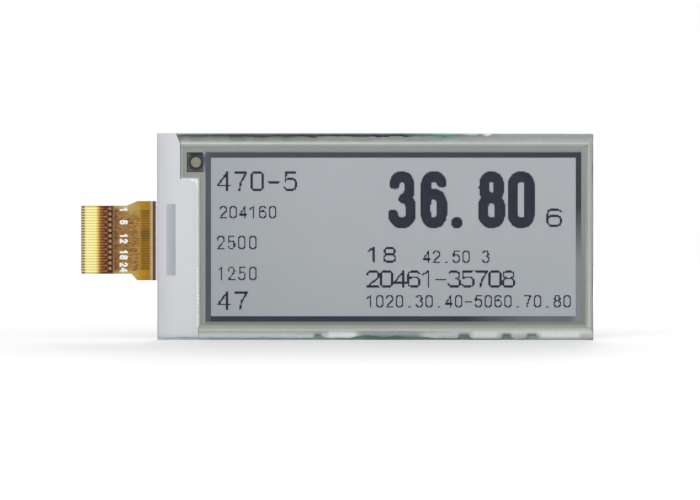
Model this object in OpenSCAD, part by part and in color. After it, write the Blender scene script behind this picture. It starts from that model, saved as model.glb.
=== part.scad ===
// Bare display of an electronic shelf label: a thin glass panel with electronic ink under
// a protective sheet, and a flexible tail that folds behind the panel and plugs into the
// label's circuit board. Sizes are in millimetres.
//
// The panel stands as it does on a shelf edge: the display faces -Y, +Z is up and the tail
// leaves towards -X. The origin is the centre of the glass's back face. Each piece is drawn
// lying flat with the display up (+Z), and upright() stands it up.

/* [Display area] */
// Picture elements along the display's length
pixel_columns = 296; // [240:8:400]
// Picture elements along the display's height
pixel_rows = 128; // [112:8:176]
// Spacing of the picture elements along the length
pixel_pitch_l = 0.226; // [0.2:0.001:0.28]
// Spacing of the picture elements along the height
pixel_pitch_h = 0.227; // [0.2:0.001:0.28]
// Width of the dark border round the picture elements
border_w = 1; // [0.5:0.1:2]

/* [Protective sheet] */
// Sheet beyond the border, on the side away from the tail
sheet_margin_right = 1.15; // [0.6:0.05:2]
// Sheet beyond the border, on the tail's side
sheet_margin_left = 1.3; // [0.6:0.05:2]
// Sheet beyond the border, at the top
sheet_margin_top = 1.35; // [0.6:0.05:2]
// Sheet beyond the border, at the bottom
sheet_margin_bottom = 1.05; // [0.6:0.05:2]
// How far the sheet's corner tab reaches over the ledge
tab_l = 3.2; // [2.8:0.1:4]
// Height of the corner tab
tab_h = 6.2; // [5.6:0.1:8]
// How far the layers under the sheet stay back from its edge
front_inset = 0.35; // [0.2:0.05:0.5]

/* [Glass plate] */
// Thickness of the glass
glass_t = 0.5; // [0.4:0.05:0.7]
// Glass beyond the sheet, on the side away from the tail
glass_margin_right = 1.1; // [0.8:0.05:2]
// Glass beyond the sheet, at the top
glass_margin_top = 2.15; // [1.95:0.05:3]
// Glass beyond the sheet, at the bottom
glass_margin_bottom = 2.3; // [1.3:0.05:3]
// Length of the glass ledge that carries the chip and the tail
ledge_l = 7.6; // [6.5:0.1:9]

/* [Front layers] */
// Thickness of the thin film circuits on the glass
array_t = 0.01; // [0.01:0.005:0.03]
// Thickness of the adhesive under the ink
lamination_t = 0.03; // [0.02:0.005:0.05]
// Thickness of the ink layer
ink_t = 0.04; // [0.03:0.005:0.06]
// Thickness of the film that carries the clear front electrode
electrode_t = 0.125; // [0.1:0.005:0.2]
// Thickness of the clear adhesive under the protective sheet
optical_t = 0.05; // [0.025:0.005:0.1]
// Thickness of the protective sheet
sheet_t = 0.295; // [0.24:0.005:0.35]
// Width of the seal outside the sheet
seal_w = 0.6; // [0.45:0.05:0.75]
// How far the seal's crest stays below the display's face
seal_drop = 0.13; // [0.1:0.01:0.2]

/* [Common contact] */
// Length of the pad that feeds the clear electrode
pad_l = 3; // [2.6:0.1:3.2]
// Height of the pad
pad_h = 3.65; // [2.6:0.05:4]
// Gap between the pad and the border
pad_gap = 0.45; // [0.3:0.05:0.6]
// Diameter of the silver paste dot on the pad
dot_d = 2; // [1.2:0.1:2.2]
// How far the dot lies off the pad's centre, towards the display
dot_shift = 0.2; // [0:0.05:0.2]

/* [Driver chip] */
// Length of the chip, along the panel's edge
chip_l = 13.1; // [12:0.1:15]
// Width of the chip
chip_w = 1.55; // [1:0.05:2]
// Thickness of the chip
chip_t = 0.3; // [0.2:0.01:0.35]
// Gap between the tail's end and the chip
chip_gap = 0.4; // [0.25:0.05:0.6]
// Thickness of the conductive bonding film under the chip and the tail
bond_film_t = 0.02; // [0.015:0.005:0.03]
// How far the bonding film shows round the chip
bond_film_edge = 0.15; // [0.05:0.05:0.2]
// Number of tracks that fan out from the chip to the display
fan_count = 36; // [20:1:44]
// Width of a track on the glass
glass_track_w = 0.12; // [0.06:0.01:0.16]

/* [Ledge cover] */
// Thickness of the white tape over the ledge
tape_t = 0.08; // [0.05:0.01:0.12]
// Gap between the tape and the protective sheet
tape_gap = 0.12; // [0.05:0.01:0.2]
// How far the tape stays back from the glass at the top and the tail's side
tape_inset = 0.05; // [0.02:0.01:0.1]
// Bare glass below the tape
tape_short = 0.9; // [0.4:0.1:2]
// Length of the tape's slanted corner
tape_cut_l = 0.8; // [0.4:0.1:1.2]
// Height of the tape's slanted corner
tape_cut_h = 1.9; // [1:0.1:1.95]
// Radius of the tape's corner under the tab
tape_corner_r = 1.9; // [1:0.1:2.5]
// How far the resin under the tape stays back from the tape's edge
resin_inset = 0.3; // [0.2:0.05:0.4]

/* [Flexible tail] */
// Number of contacts
contact_count = 24; // [16:2:26]
// Spacing of the contacts
contact_pitch = 0.5; // [0.4:0.01:0.55]
// How far the tail reaches beyond the glass
tail_reach = 13.9; // [13:0.1:20]
// How far the tail's centre lies below the glass's centre
tail_drop = 0.6; // [0:0.1:2]
// How far the tail reaches over the glass
bond_reach = 1.5; // [1.2:0.1:1.8]
// Extra width of the tail's root, at the top
shoulder_top = 0.85; // [0.3:0.05:1.5]
// Extra width of the tail's root, at the bottom
shoulder_bottom = 1.2; // [0.3:0.05:1.5]
// Length of the slant between the tail's root and its narrow part, at the top
shoulder_top_l = 1.95; // [0.8:0.05:2.1]
// Length of the same slant at the bottom
shoulder_bottom_l = 1.1; // [0.8:0.05:2.1]
// Thickness of the tail's base film
film_t = 0.05; // [0.025:0.005:0.075]
// Thickness of the tail's copper
copper_t = 0.02; // [0.015:0.001:0.025]
// Thickness of each cover film
coverlay_t = 0.04; // [0.03:0.005:0.06]
// Length of the chamfer at the tail's end corners
tip_chamfer = 0.2; // [0.1:0.05:0.25]

/* [Bend] */
// Distance from the glass to where the tail starts to bend
bend_gap = 0.8; // [0.7:0.05:1.2]
// Bare film between the bend and the cover films
bare_l = 0.6; // [0.3:0.1:1]
// Distance from the cover films' edge to the shoulders
shoulder_gap = 0.4; // [0.2:0.05:0.6]
// Width of the glue bead between the glass's edge and the tail
glue_w = 0.55; // [0.3:0.05:0.65]
// Depth of the glue bead down the glass's edge
glue_h = 0.4; // [0.3:0.05:0.4]

/* [Contacts] */
// Bare length of the contact fingers
finger_l = 3.4; // [3:0.1:3.8]
// Width of a contact finger
finger_w = 0.35; // [0.25:0.01:0.35]
// Length of the narrow stub at a finger's end
stub_l = 0.65; // [0.3:0.05:1]
// Width of the stub
stub_w = 0.2; // [0.15:0.01:0.25]
// Width of the gold necks between the fingers and the plated holes
neck_w = 0.18; // [0.1:0.01:0.2]
// Width of the leads on the tail's back
lead_w = 0.28; // [0.2:0.01:0.3]
// Spacing of the tracks where they are bonded to the glass
bond_pitch = 0.46; // [0.38:0.01:0.5]
// Distance from the tail's end to the first row of plated holes
via_row_1 = 4.6; // [4.2:0.1:4.7]
// Distance from the first row of plated holes to the second
via_step = 0.65; // [0.5:0.05:0.7]
// Diameter of a plated hole's copper barrel
via_d = 0.2; // [0.15:0.01:0.25]
// Diameter of the pads on a plated hole
via_pad_d = 0.4; // [0.3:0.01:0.42]
// Length of the stiffener behind the contacts
stiffener_l = 5.9; // [5.7:0.1:6.5]
// Thickness of the tail at its contacts
contact_t = 0.3; // [0.27:0.01:0.33]
// Thickness of the stiffener's adhesive
stiffener_glue_t = 0.03; // [0.02:0.005:0.05]
// Distance from the stiffener to where the tracks spread
fan_gap = 0.4; // [0.2:0.1:0.6]
// Length over which the tracks spread
fan_l = 1.8; // [1.2:0.1:1.8]

/* [Hidden] */

$fn = 48;

// One overrun serves every cut
overrun = film_t;
// Tracks on the glass stay this far from a chip end, a pad or the display's corner
track_clear = contact_pitch;

// Sizes along the panel
active_l = pixel_columns * pixel_pitch_l;
active_h = pixel_rows * pixel_pitch_h;
sheet_l = sheet_margin_left + border_w + active_l + border_w + sheet_margin_right;
sheet_h = sheet_margin_bottom + border_w + active_h + border_w + sheet_margin_top;
glass_l = ledge_l + sheet_l + glass_margin_right;
glass_h = glass_margin_bottom + sheet_h + glass_margin_top;

// Edges of the glass, the sheet, the border and the picture area
glass_x0 = -glass_l / 2;
glass_x1 = glass_l / 2;
glass_y0 = -glass_h / 2;
glass_y1 = glass_h / 2;
sheet_x0 = glass_x0 + ledge_l;
sheet_x1 = sheet_x0 + sheet_l;
sheet_y0 = glass_y0 + glass_margin_bottom;
sheet_y1 = sheet_y0 + sheet_h;
border_x0 = sheet_x0 + sheet_margin_left;
border_x1 = sheet_x1 - sheet_margin_right;
border_y0 = sheet_y0 + sheet_margin_bottom;
border_y1 = sheet_y1 - sheet_margin_top;
active_x0 = border_x0 + border_w;
active_x1 = border_x1 - border_w;
active_y0 = border_y0 + border_w;
active_y1 = border_y1 - border_w;

// The corner tab, and the pad and dot under it
tab_x0 = sheet_x0 - tab_l;
tab_y0 = sheet_y1 - tab_h;
pad_x1 = border_x0 - pad_gap;
pad_x0 = pad_x1 - pad_l;
pad_y1 = border_y1;
pad_y0 = pad_y1 - pad_h;
dot_x = (pad_x0 + pad_x1) / 2 + dot_shift;
dot_y = (pad_y0 + pad_y1) / 2;

// Levels of the front layers, from the glass's back face up
circuit_z = glass_t;
front_z = circuit_z + array_t;
ink_z = front_z + lamination_t;
electrode_z = ink_z + ink_t;
optical_z = electrode_z + electrode_t;
sheet_z = optical_z + optical_t;
face_z = sheet_z + sheet_t;
seal_h = face_z - seal_drop - glass_t;

// Levels of the ledge's pieces and of the tail
chip_z = front_z + bond_film_t;
resin_top_z = chip_z + chip_t;
copper_z = front_z + bond_film_t;
film_z = copper_z + copper_t;
film_top_z = film_z + film_t;
back_cover_z = film_z - coverlay_t;
stiffener_glue_z = back_cover_z - stiffener_glue_t;
stiffener_z = film_top_z + copper_t - contact_t;

// The tail across the panel, and the tracks' places
tail_y = -tail_drop;
tail_w = (contact_count + 1) * contact_pitch;
tail_y0 = tail_y - tail_w / 2;
tail_y1 = tail_y + tail_w / 2;
root_y0 = tail_y0 - shoulder_bottom;
root_y1 = tail_y1 + shoulder_top;
last_contact = contact_count - 1;
function from_centre(i) = i - last_contact / 2;
function contact_y(i) = tail_y + from_centre(i) * contact_pitch;
function bond_y(i) = tail_y + from_centre(i) * bond_pitch;

// The tail along the panel. It bends round a line in the plane of the glass's back, which
// lies half a bend beyond bend_x0, and the bend takes up half a circle of the film
bond_x = glass_x0 + bond_reach;
bend_x0 = glass_x0 - bend_gap;
bend_r = film_z + film_t / 2;
bend_l = PI * bend_r;
bend_x1 = bend_x0 - bend_l;
cover_x = bend_x1 - bare_l;
shoulder_x0 = cover_x - shoulder_gap;
shoulder_top_x1 = shoulder_x0 - shoulder_top_l;
shoulder_bottom_x1 = shoulder_x0 - shoulder_bottom_l;
tip_x = glass_x0 - tail_reach;
finger_x = tip_x + finger_l;
stiffener_x = tip_x + stiffener_l;
fan_x0 = stiffener_x + fan_gap;
fan_x1 = fan_x0 + fan_l;
function via_x(i) = tip_x + via_row_1 + (i % 2) * via_step;

// The driver chip lies just inside the tail's end, in line with it
chip_x0 = bond_x + chip_gap;
chip_x1 = chip_x0 + chip_w;
chip_y0 = tail_y - chip_l / 2;
chip_y1 = tail_y + chip_l / 2;

// Edges of the tape over the ledge
tape_x0 = glass_x0 + tape_inset;
tape_x1 = sheet_x0 - tape_gap;
tape_y0 = glass_y0 + tape_short;
tape_y1 = glass_y1 - tape_inset;
tape_notch_x = tab_x0 - tape_gap;
tape_notch_y = tab_y0 - tape_gap;

// Colours, as the pieces look
glass_colour = [0.66, 0.74, 0.71];
circuit_colour = [0.42, 0.45, 0.46];
border_colour = [0.22, 0.24, 0.29];
metal_colour = [0.55, 0.52, 0.45];
silver_colour = [0.78, 0.78, 0.76];
ink_colour = [0.64, 0.66, 0.67];
clear_colour = [0.80, 0.84, 0.85, 0.35];
seal_colour = [0.74, 0.76, 0.74];
chip_colour = [0.30, 0.32, 0.36];
bond_colour = [0.62, 0.55, 0.42];
tape_colour = [0.86, 0.87, 0.88];
amber_colour = [0.72, 0.52, 0.14];
copper_colour = [0.72, 0.45, 0.20];
gold_colour = [0.93, 0.82, 0.42];
cover_colour = [0.58, 0.38, 0.16];
glue_colour = [0.20, 0.15, 0.10];
stiffener_colour = [0.70, 0.55, 0.25];

// Stands a piece that was drawn lying flat
module upright() rotate([90, 0, 0]) children();

// A flat rectangle between two corners
module area(x0, x1, y0, y1) {
    translate([x0, y0]) square([x1 - x0, y1 - y0]);
}

// A sheet of thickness t with the outline of its children, its underside at level z
module layer(z, t) {
    upright() translate([0, 0, z]) linear_extrude(t) children();
}

// A track of width w through points that run towards +X
module track(points, w) {
    last = len(points) - 1;
    low_side = [for (p = points) [p[0], p[1] - w / 2]];
    high_side = [for (i = [last : -1 : 0]) [points[i][0], points[i][1] + w / 2]];
    polygon(concat(low_side, high_side));
}

// The protective sheet's outline with its corner tab, grown by g on every side
module sheet_outline(g) {
    area(sheet_x0 - g, sheet_x1 + g, sheet_y0 - g, sheet_y1 + g);
    area(tab_x0 - g, sheet_x0 + tab_l, tab_y0 - g, sheet_y1 + g);
}

// The layers under the sheet, open over the pad, where the ink is cleared away
module front_outline() {
    difference() {
        sheet_outline(-front_inset);
        area(pad_x0, pad_x1, pad_y0, pad_y1);
    }
}

// Section of a bead that leans on a wall: w wide on the floor and h high on the wall,
// with a round back that passes through both ends
module bead_section(w, h) {
    centre_drop = (w * w - h * h) / (2 * h);
    intersection() {
        translate([0, -centre_drop]) circle(centre_drop + h);
        square([w, h]);
    }
}

// The tape's outline, drawn in by g: a column with a slanted corner beside the tab, and a
// block with a round corner below it
module tape_outline(g) {
    left = tape_x0 + g;
    bottom = tape_y0 + g;
    top = tape_y1 - g;
    right = tape_x1 - g;
    notch_x = tape_notch_x - g;
    notch_y = tape_notch_y - g;
    r = tape_corner_r - g;
    polygon([
        [left, bottom], [notch_x, bottom], [notch_x, top - tape_cut_h],
        [notch_x - tape_cut_l, top], [left, top]
    ]);
    area(left, right, bottom, notch_y - r);
    area(left, right - r, bottom, notch_y);
    translate([right - r, notch_y - r]) circle(r);
}

// The whole tail's outline, from its end to its root on the glass
module tail_outline() {
    polygon([
        [tip_x + tip_chamfer, tail_y0], [shoulder_bottom_x1, tail_y0], [shoulder_x0, root_y0],
        [bond_x, root_y0], [bond_x, root_y1], [shoulder_x0, root_y1],
        [shoulder_top_x1, tail_y1], [tip_x + tip_chamfer, tail_y1],
        [tip_x, tail_y1 - tip_chamfer], [tip_x, tail_y0 + tip_chamfer]
    ]);
}

// The stretch of the tail between two places along it
module tail_stretch(x0, x1) {
    intersection() {
        tail_outline();
        area(x0, x1, root_y0, root_y1);
    }
}

// One spot of diameter d at every plated hole
module via_spots(d) {
    for (i = [0 : last_contact]) translate([via_x(i), contact_y(i)]) circle(d = d);
}

// The copper on the tail's back, which spreads from the contacts' spacing to the bond's
module back_copper() {
    for (i = [0 : last_contact]) {
        track([
            [via_x(i), contact_y(i)], [fan_x0, contact_y(i)],
            [fan_x1, bond_y(i)], [bend_x1, bond_y(i)]
        ], lead_w);
    }
    via_spots(via_pad_d);
}

// The copper on the tail's front: a stub, a finger and a neck to a plated hole
module front_copper() {
    for (i = [0 : last_contact]) {
        track([[tip_x, contact_y(i)], [tip_x + stub_l, contact_y(i)]], stub_w);
        track([[tip_x + stub_l, contact_y(i)], [finger_x, contact_y(i)]], finger_w);
        track([[finger_x, contact_y(i)], [via_x(i), contact_y(i)]], neck_w);
    }
    via_spots(via_pad_d);
}

// Straight leads at the bond's spacing between two places along the tail
module straight_leads(x0, x1) {
    for (i = [0 : last_contact]) track([[x0, bond_y(i)], [x1, bond_y(i)]], lead_w);
}

// The tracks on the glass: one from each lead to the chip, and a fan to the display
module circuit_tracks() {
    fan_low = active_y0 + track_clear;
    fan_high = pad_y0 - track_clear;
    chip_low = chip_y0 + track_clear;
    chip_high = chip_y1 - track_clear;
    for (i = [0 : last_contact]) {
        track([
            [glass_x0 + tape_inset, bond_y(i)], [chip_x0 + bond_film_edge, bond_y(i)]
        ], lead_w);
    }
    for (i = [0 : fan_count - 1]) {
        s = i / (fan_count - 1);
        chip_end_y = chip_low + s * (chip_high - chip_low);
        display_end_y = fan_low + s * (fan_high - fan_low);
        track([
            [chip_x1 - bond_film_edge, chip_end_y], [chip_x1 + bond_film_edge, chip_end_y],
            [sheet_x0, display_end_y], [border_x0, display_end_y]
        ], glass_track_w);
    }
}

module backplane_glass() {
    color(glass_colour)
        layer(0, glass_t) area(glass_x0, glass_x1, glass_y0, glass_y1);
}

module pixel_array() {
    color(circuit_colour)
        layer(circuit_z, array_t) area(active_x0, active_x1, active_y0, active_y1);
}

module border_electrode() {
    color(border_colour)
        layer(circuit_z, array_t) difference() {
            area(border_x0, border_x1, border_y0, border_y1);
            area(active_x0, active_x1, active_y0, active_y1);
        }
}

module glass_tracks() {
    color(metal_colour) layer(circuit_z, array_t) circuit_tracks();
}

module common_pad() {
    color(border_colour)
        layer(circuit_z, array_t) area(pad_x0, pad_x1, pad_y0, pad_y1);
}

module silver_dot() {
    color(silver_colour)
        layer(front_z, lamination_t + ink_t) translate([dot_x, dot_y]) circle(d = dot_d);
}

module lamination_adhesive() {
    color(clear_colour) layer(front_z, lamination_t) front_outline();
}

module ink_layer() {
    color(ink_colour) layer(ink_z, ink_t) front_outline();
}

module electrode_film() {
    color(clear_colour) layer(electrode_z, electrode_t) sheet_outline(-front_inset);
}

module optical_adhesive() {
    color(clear_colour) layer(optical_z, optical_t) sheet_outline(-front_inset);
}

module protective_sheet() {
    color(clear_colour) layer(sheet_z, sheet_t) sheet_outline(0);
}

// The seal fills the step under the sheet's edge, and outside it a bead leans on the sheet
// along the top, the right and the bottom. The resin takes the side of the ledge
module edge_seal() {
    color(seal_colour) {
        layer(front_z, sheet_z - front_z) difference() {
            sheet_outline(0);
            sheet_outline(-front_inset);
        }
        upright() {
            translate([tab_x0, sheet_y1, glass_t])
                rotate([90, 0, 90])
                    linear_extrude(sheet_x1 - tab_x0) bead_section(seal_w, seal_h);
            translate([sheet_x0, sheet_y0, glass_t])
                mirror([0, 1, 0]) rotate([90, 0, 90])
                    linear_extrude(sheet_l) bead_section(seal_w, seal_h);
            translate([sheet_x1, sheet_y1, glass_t])
                rotate([90, 0, 0]) linear_extrude(sheet_h) bead_section(seal_w, seal_h);
            translate([sheet_x1, sheet_y1, glass_t])
                rotate_extrude(angle = 90) bead_section(seal_w, seal_h);
            translate([sheet_x1, sheet_y0, glass_t])
                rotate([0, 0, -90]) rotate_extrude(angle = 90) bead_section(seal_w, seal_h);
        }
    }
}

module driver_chip() {
    color(chip_colour) layer(chip_z, chip_t) area(chip_x0, chip_x1, chip_y0, chip_y1);
}

// The bonding film's outline under the chip, which shows a little all round it
module chip_bond_outline() {
    area(
        chip_x0 - bond_film_edge, chip_x1 + bond_film_edge,
        chip_y0 - bond_film_edge, chip_y1 + bond_film_edge
    );
}

module chip_bond_film() {
    color(bond_colour) layer(front_z, bond_film_t) chip_bond_outline();
}

module tail_bond_film() {
    color(bond_colour)
        layer(front_z, bond_film_t) area(tape_x0, bond_x, root_y0, root_y1);
}

// The resin is flush with the chip's top, and leaves room for the chip and the tail's root
module ledge_resin() {
    color(clear_colour) difference() {
        layer(front_z, resin_top_z - front_z) tape_outline(resin_inset);
        layer(front_z, resin_top_z - front_z + overrun)
            area(chip_x0, chip_x1, chip_y0, chip_y1);
        layer(front_z - overrun, bond_film_t + overrun) chip_bond_outline();
        layer(front_z - overrun, film_top_z - front_z + overrun)
            area(glass_x0 - overrun, bond_x, root_y0, root_y1);
    }
}

module ledge_tape() {
    color(tape_colour) layer(resin_top_z, tape_t) tape_outline(0);
}

module bonded_film() {
    color(amber_colour) layer(film_z, film_t) tail_stretch(bend_x0, bond_x);
}

module bonded_leads() {
    color(copper_colour) layer(copper_z, copper_t) straight_leads(bend_x0, bond_x);
}

// The bead hangs under the tail's leads, against the cut edge of the glass
module edge_glue() {
    color(glue_colour)
        upright() translate([glass_x0, root_y1, copper_z])
            rotate([90, 0, 0]) linear_extrude(root_y1 - root_y0)
                mirror([1, 0]) mirror([0, 1]) bead_section(glue_w, glue_h);
}

module bend_film() {
    color(amber_colour) layer(film_z, film_t) tail_stretch(bend_x1, bend_x0);
}

module bend_leads() {
    color(copper_colour) layer(copper_z, copper_t) straight_leads(bend_x1, bend_x0);
}

module tail_film() {
    color(amber_colour) layer(film_z, film_t) difference() {
        tail_stretch(tip_x, bend_x1);
        via_spots(via_d);
    }
}

module tail_tracks() {
    color(copper_colour) layer(copper_z, copper_t) back_copper();
}

module plated_holes() {
    color(copper_colour) layer(film_z, film_t) via_spots(via_d);
}

module contact_fingers() {
    color(gold_colour) layer(film_top_z, copper_t) front_copper();
}

module front_coverlay() {
    color(cover_colour) difference() {
        layer(film_top_z, coverlay_t) tail_stretch(finger_x, cover_x);
        layer(film_top_z - overrun, copper_t + overrun) front_copper();
    }
}

module back_coverlay() {
    color(cover_colour) difference() {
        layer(back_cover_z, coverlay_t) tail_stretch(tip_x, cover_x);
        layer(copper_z, copper_t + overrun) back_copper();
    }
}

module stiffener_adhesive() {
    color(clear_colour)
        layer(stiffener_glue_z, stiffener_glue_t) tail_stretch(tip_x, stiffener_x);
}

module contact_stiffener() {
    color(stiffener_colour)
        layer(stiffener_z, stiffener_glue_z - stiffener_z) tail_stretch(tip_x, stiffener_x);
}

backplane_glass();
pixel_array();
border_electrode();
glass_tracks();
common_pad();
silver_dot();
lamination_adhesive();
ink_layer();
electrode_film();
optical_adhesive();
protective_sheet();
edge_seal();
driver_chip();
chip_bond_film();
tail_bond_film();
ledge_resin();
ledge_tape();
bonded_film();
bonded_leads();
edge_glue();
bend_film();
bend_leads();
tail_film();
tail_tracks();
plated_holes();
contact_fingers();
front_coverlay();
back_coverlay();
stiffener_adhesive();
contact_stiffener();
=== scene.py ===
# %% [markdown]
# The bare display of an electronic shelf label, dressed for a photograph. A thin glass plate
# carries a sheet of electronic ink under a clear protective sheet. A white tape covers the
# ledge at one end, and an amber flexible tail with gold contacts leaves from there. The
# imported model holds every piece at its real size, so this script only gives the pieces their
# finish, and models anew the ones whose look needs more than flat faces.

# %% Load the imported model
import math

import bmesh
import bpy
from mathutils import Matrix, Vector, noise


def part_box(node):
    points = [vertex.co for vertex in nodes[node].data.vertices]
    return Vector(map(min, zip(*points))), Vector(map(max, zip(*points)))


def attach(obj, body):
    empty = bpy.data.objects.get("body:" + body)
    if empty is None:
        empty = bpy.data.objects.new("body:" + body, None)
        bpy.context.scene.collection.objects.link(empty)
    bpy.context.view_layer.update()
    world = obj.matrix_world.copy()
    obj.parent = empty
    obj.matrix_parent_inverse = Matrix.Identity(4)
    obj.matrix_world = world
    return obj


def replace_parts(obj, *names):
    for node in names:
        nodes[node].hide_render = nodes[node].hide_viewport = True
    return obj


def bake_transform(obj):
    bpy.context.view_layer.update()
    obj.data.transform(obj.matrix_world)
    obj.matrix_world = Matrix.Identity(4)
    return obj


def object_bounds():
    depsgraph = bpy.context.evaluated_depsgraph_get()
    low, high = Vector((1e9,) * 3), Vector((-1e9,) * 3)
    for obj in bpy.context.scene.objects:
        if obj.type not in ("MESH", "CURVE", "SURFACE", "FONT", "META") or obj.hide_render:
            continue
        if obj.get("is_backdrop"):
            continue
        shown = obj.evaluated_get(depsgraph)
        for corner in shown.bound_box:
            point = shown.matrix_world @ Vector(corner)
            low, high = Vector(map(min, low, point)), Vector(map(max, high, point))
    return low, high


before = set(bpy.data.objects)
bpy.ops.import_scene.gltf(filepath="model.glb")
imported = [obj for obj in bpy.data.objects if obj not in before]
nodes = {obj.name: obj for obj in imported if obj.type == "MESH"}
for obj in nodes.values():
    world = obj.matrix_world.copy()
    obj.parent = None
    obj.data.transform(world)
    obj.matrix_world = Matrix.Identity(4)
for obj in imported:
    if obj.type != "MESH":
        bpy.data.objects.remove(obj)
cad_low, cad_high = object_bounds()
print("model box in mm:", [round(1000 * side, 2) for side in cad_high - cad_low])

# %% [markdown]
# Lengths are in metres, and a millimetre is the handy unit for an object this small. The
# model's layers touch face to face. A ray that meets two faces in the same plane can't tell
# which comes first, so a piece that is modelled anew stays a few thousandths of a millimetre
# off its neighbours. Long thin triangles blur a face's depth by as much, so wide layers are
# cut into small cells.

# %% Units, gaps and cells
MM = 0.001
HAIR = 0.002 * MM
GAP = 0.006 * MM
CELL = 5 * MM
MERGE = 0.0001 * MM
FLAT = math.radians(1)


# %% [markdown]
# The model's own corners say where every edge lies. This helper reads the distinct places of
# a piece's corners along one axis, so that the script repeats no size by hand.

# %% Read places from the model
def places(node, axis):
    """The distinct places of a piece's corners along an axis, lowest first."""
    found = sorted(vertex.co[axis] for vertex in nodes[node].data.vertices)
    kept = found[:1]
    for spot in found:
        if spot - kept[-1] > MERGE:
            kept.append(spot)
    return kept


glass_low, glass_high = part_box("backplane_glass")
sheet_low, sheet_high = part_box("protective_sheet")
border_low, border_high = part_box("border_electrode")
active_low, active_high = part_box("pixel_array")
pad_low, pad_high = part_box("common_pad")
dot_low, dot_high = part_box("silver_dot")
chip_low, chip_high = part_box("driver_chip")
tape_low, tape_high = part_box("ledge_tape")
bend_low, bend_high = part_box("bend_film")
root_low, root_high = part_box("bonded_film")
tip_low, tip_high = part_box("contact_fingers")
cover_low, cover_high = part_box("front_coverlay")
tracks_low, tracks_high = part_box("tail_tracks")
hole_low, hole_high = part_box("plated_holes")
print("picture area in mm:", [round(1000 * side, 2) for side in active_high - active_low])


# %% [markdown]
# Shapes come from bmesh operators. A copy of a model piece arrives as loose triangles, so its
# doubled corners are merged and its flat triangles joined before anything else is done to it.
# Pieces that meet end to end can be taken as one, and then their end walls go first.

# %% Helpers that make shapes
def merged_copy(*names, seams=()):
    """The model's pieces as one mesh, with corners merged and no walls at the seams along X."""
    bm = bmesh.new()
    for name in names:
        bm.from_mesh(nodes[name].data)
    bmesh.ops.remove_doubles(bm, verts=bm.verts, dist=MERGE)
    if seams:
        walls = [
            face for face in bm.faces
            if any(all(abs(v.co.x - seam) < MERGE for v in face.verts) for seam in seams)
        ]
        bmesh.ops.delete(bm, geom=walls, context="FACES_ONLY")
        bmesh.ops.remove_doubles(bm, verts=bm.verts, dist=MERGE)
    bmesh.ops.dissolve_limit(bm, angle_limit=FLAT, verts=bm.verts, edges=bm.edges)
    return bm


def relevel(bm, front, back):
    """Moves a flat plate's two faces to new depths."""
    depths = [vertex.co.y for vertex in bm.verts]
    middle = (min(depths) + max(depths)) / 2
    for vertex in bm.verts:
        vertex.co.y = front if vertex.co.y < middle else back


def slice_up(bm, axis, start, stop, count):
    """Cuts a mesh with evenly spaced planes across an axis."""
    normal = Vector([1 if i == axis else 0 for i in range(3)])
    for i in range(count):
        cut = normal * (start + (stop - start) * (i + 0.5) / count)
        parts = bm.verts[:] + bm.edges[:] + bm.faces[:]
        bmesh.ops.bisect_plane(bm, geom=parts, dist=MERGE / 10, plane_co=cut, plane_no=normal)


def cut_cells(bm):
    """Cuts a wide layer into small cells, so that it holds no long thin triangle."""
    for axis in (0, 2):
        ends = [vertex.co[axis] for vertex in bm.verts]
        count = round((max(ends) - min(ends)) / CELL)
        slice_up(bm, axis, min(ends), max(ends), count)


# %% [markdown]
# A finished mesh becomes a piece of the scene here: it gets its finish and the body that it
# rides on. A round piece is shaded smooth up to an angle, so its rims stay sharp.

# %% Keep a finished piece
def keep(bm, name, material, body="panel", smooth=None):
    """Turns a bmesh into a finished piece that rides on a body."""
    bmesh.ops.recalc_face_normals(bm, faces=bm.faces)
    mesh = bpy.data.meshes.new(name)
    bm.to_mesh(mesh)
    bm.free()
    if smooth:
        mesh.shade_smooth()
        mesh.set_sharp_from_angle(angle=math.radians(smooth))
    for each in material if isinstance(material, list) else [material]:
        mesh.materials.append(each)
    piece = bpy.data.objects.new(name, mesh)
    bpy.context.scene.collection.objects.link(piece)
    if body:
        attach(piece, body)
    print(name, "has", len(mesh.polygons), "faces")
    return piece


# %% [markdown]
# Colours are chosen as they should look on a screen, from 0 to 255, and a shader takes linear
# light, so one function converts them. What lies under the clear layers is seen through them,
# so a second function allows for the light that they take and add.

# %% Colours
LAYERS_PASS = 0.77
LAYERS_VEIL = 0.008
DARKEST = 0.001


def seen(red, green, blue):
    """A colour as it looks on a screen, as the linear values that a shader takes."""
    def linear(value):
        share = value / 255
        return share / 12.92 if share <= 0.04045 else ((share + 0.055) / 1.055) ** 2.4
    return (linear(red), linear(green), linear(blue), 1)


def under_clear(red, green, blue):
    """The colour of a face that looks like this one through the clear layers above it."""
    shares = [(value - LAYERS_VEIL) / LAYERS_PASS for value in seen(red, green, blue)[:3]]
    return tuple(max(share, DARKEST) for share in shares) + (1,)


# %% [markdown]
# A finish is a small network of nodes round the Principled shader. Writing such a network out
# link by link hides what it does. So a few helpers place a node and hand back its result,
# ready to go into the next one, much as a formula is written.

# %% Helpers that build materials
def finish_of(name, colour, roughness, metallic=0.0, alpha=1.0, shine=0.5):
    """A new material with its node tree and its Principled shader."""
    material = bpy.data.materials.new(name)
    material.use_nodes = True
    tree = material.node_tree
    shader = tree.nodes["Principled BSDF"]
    shader.inputs["Base Color"].default_value = colour
    shader.inputs["Roughness"].default_value = roughness
    shader.inputs["Metallic"].default_value = metallic
    shader.inputs["Alpha"].default_value = alpha
    shader.inputs["Specular IOR Level"].default_value = shine
    print("finish:", name)
    return material, tree, shader


def feed(tree, socket, value):
    """Gives a socket a constant, or links it to another node's result."""
    if isinstance(value, bpy.types.NodeSocket):
        tree.links.new(value, socket)
    else:
        socket.default_value = value


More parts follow.
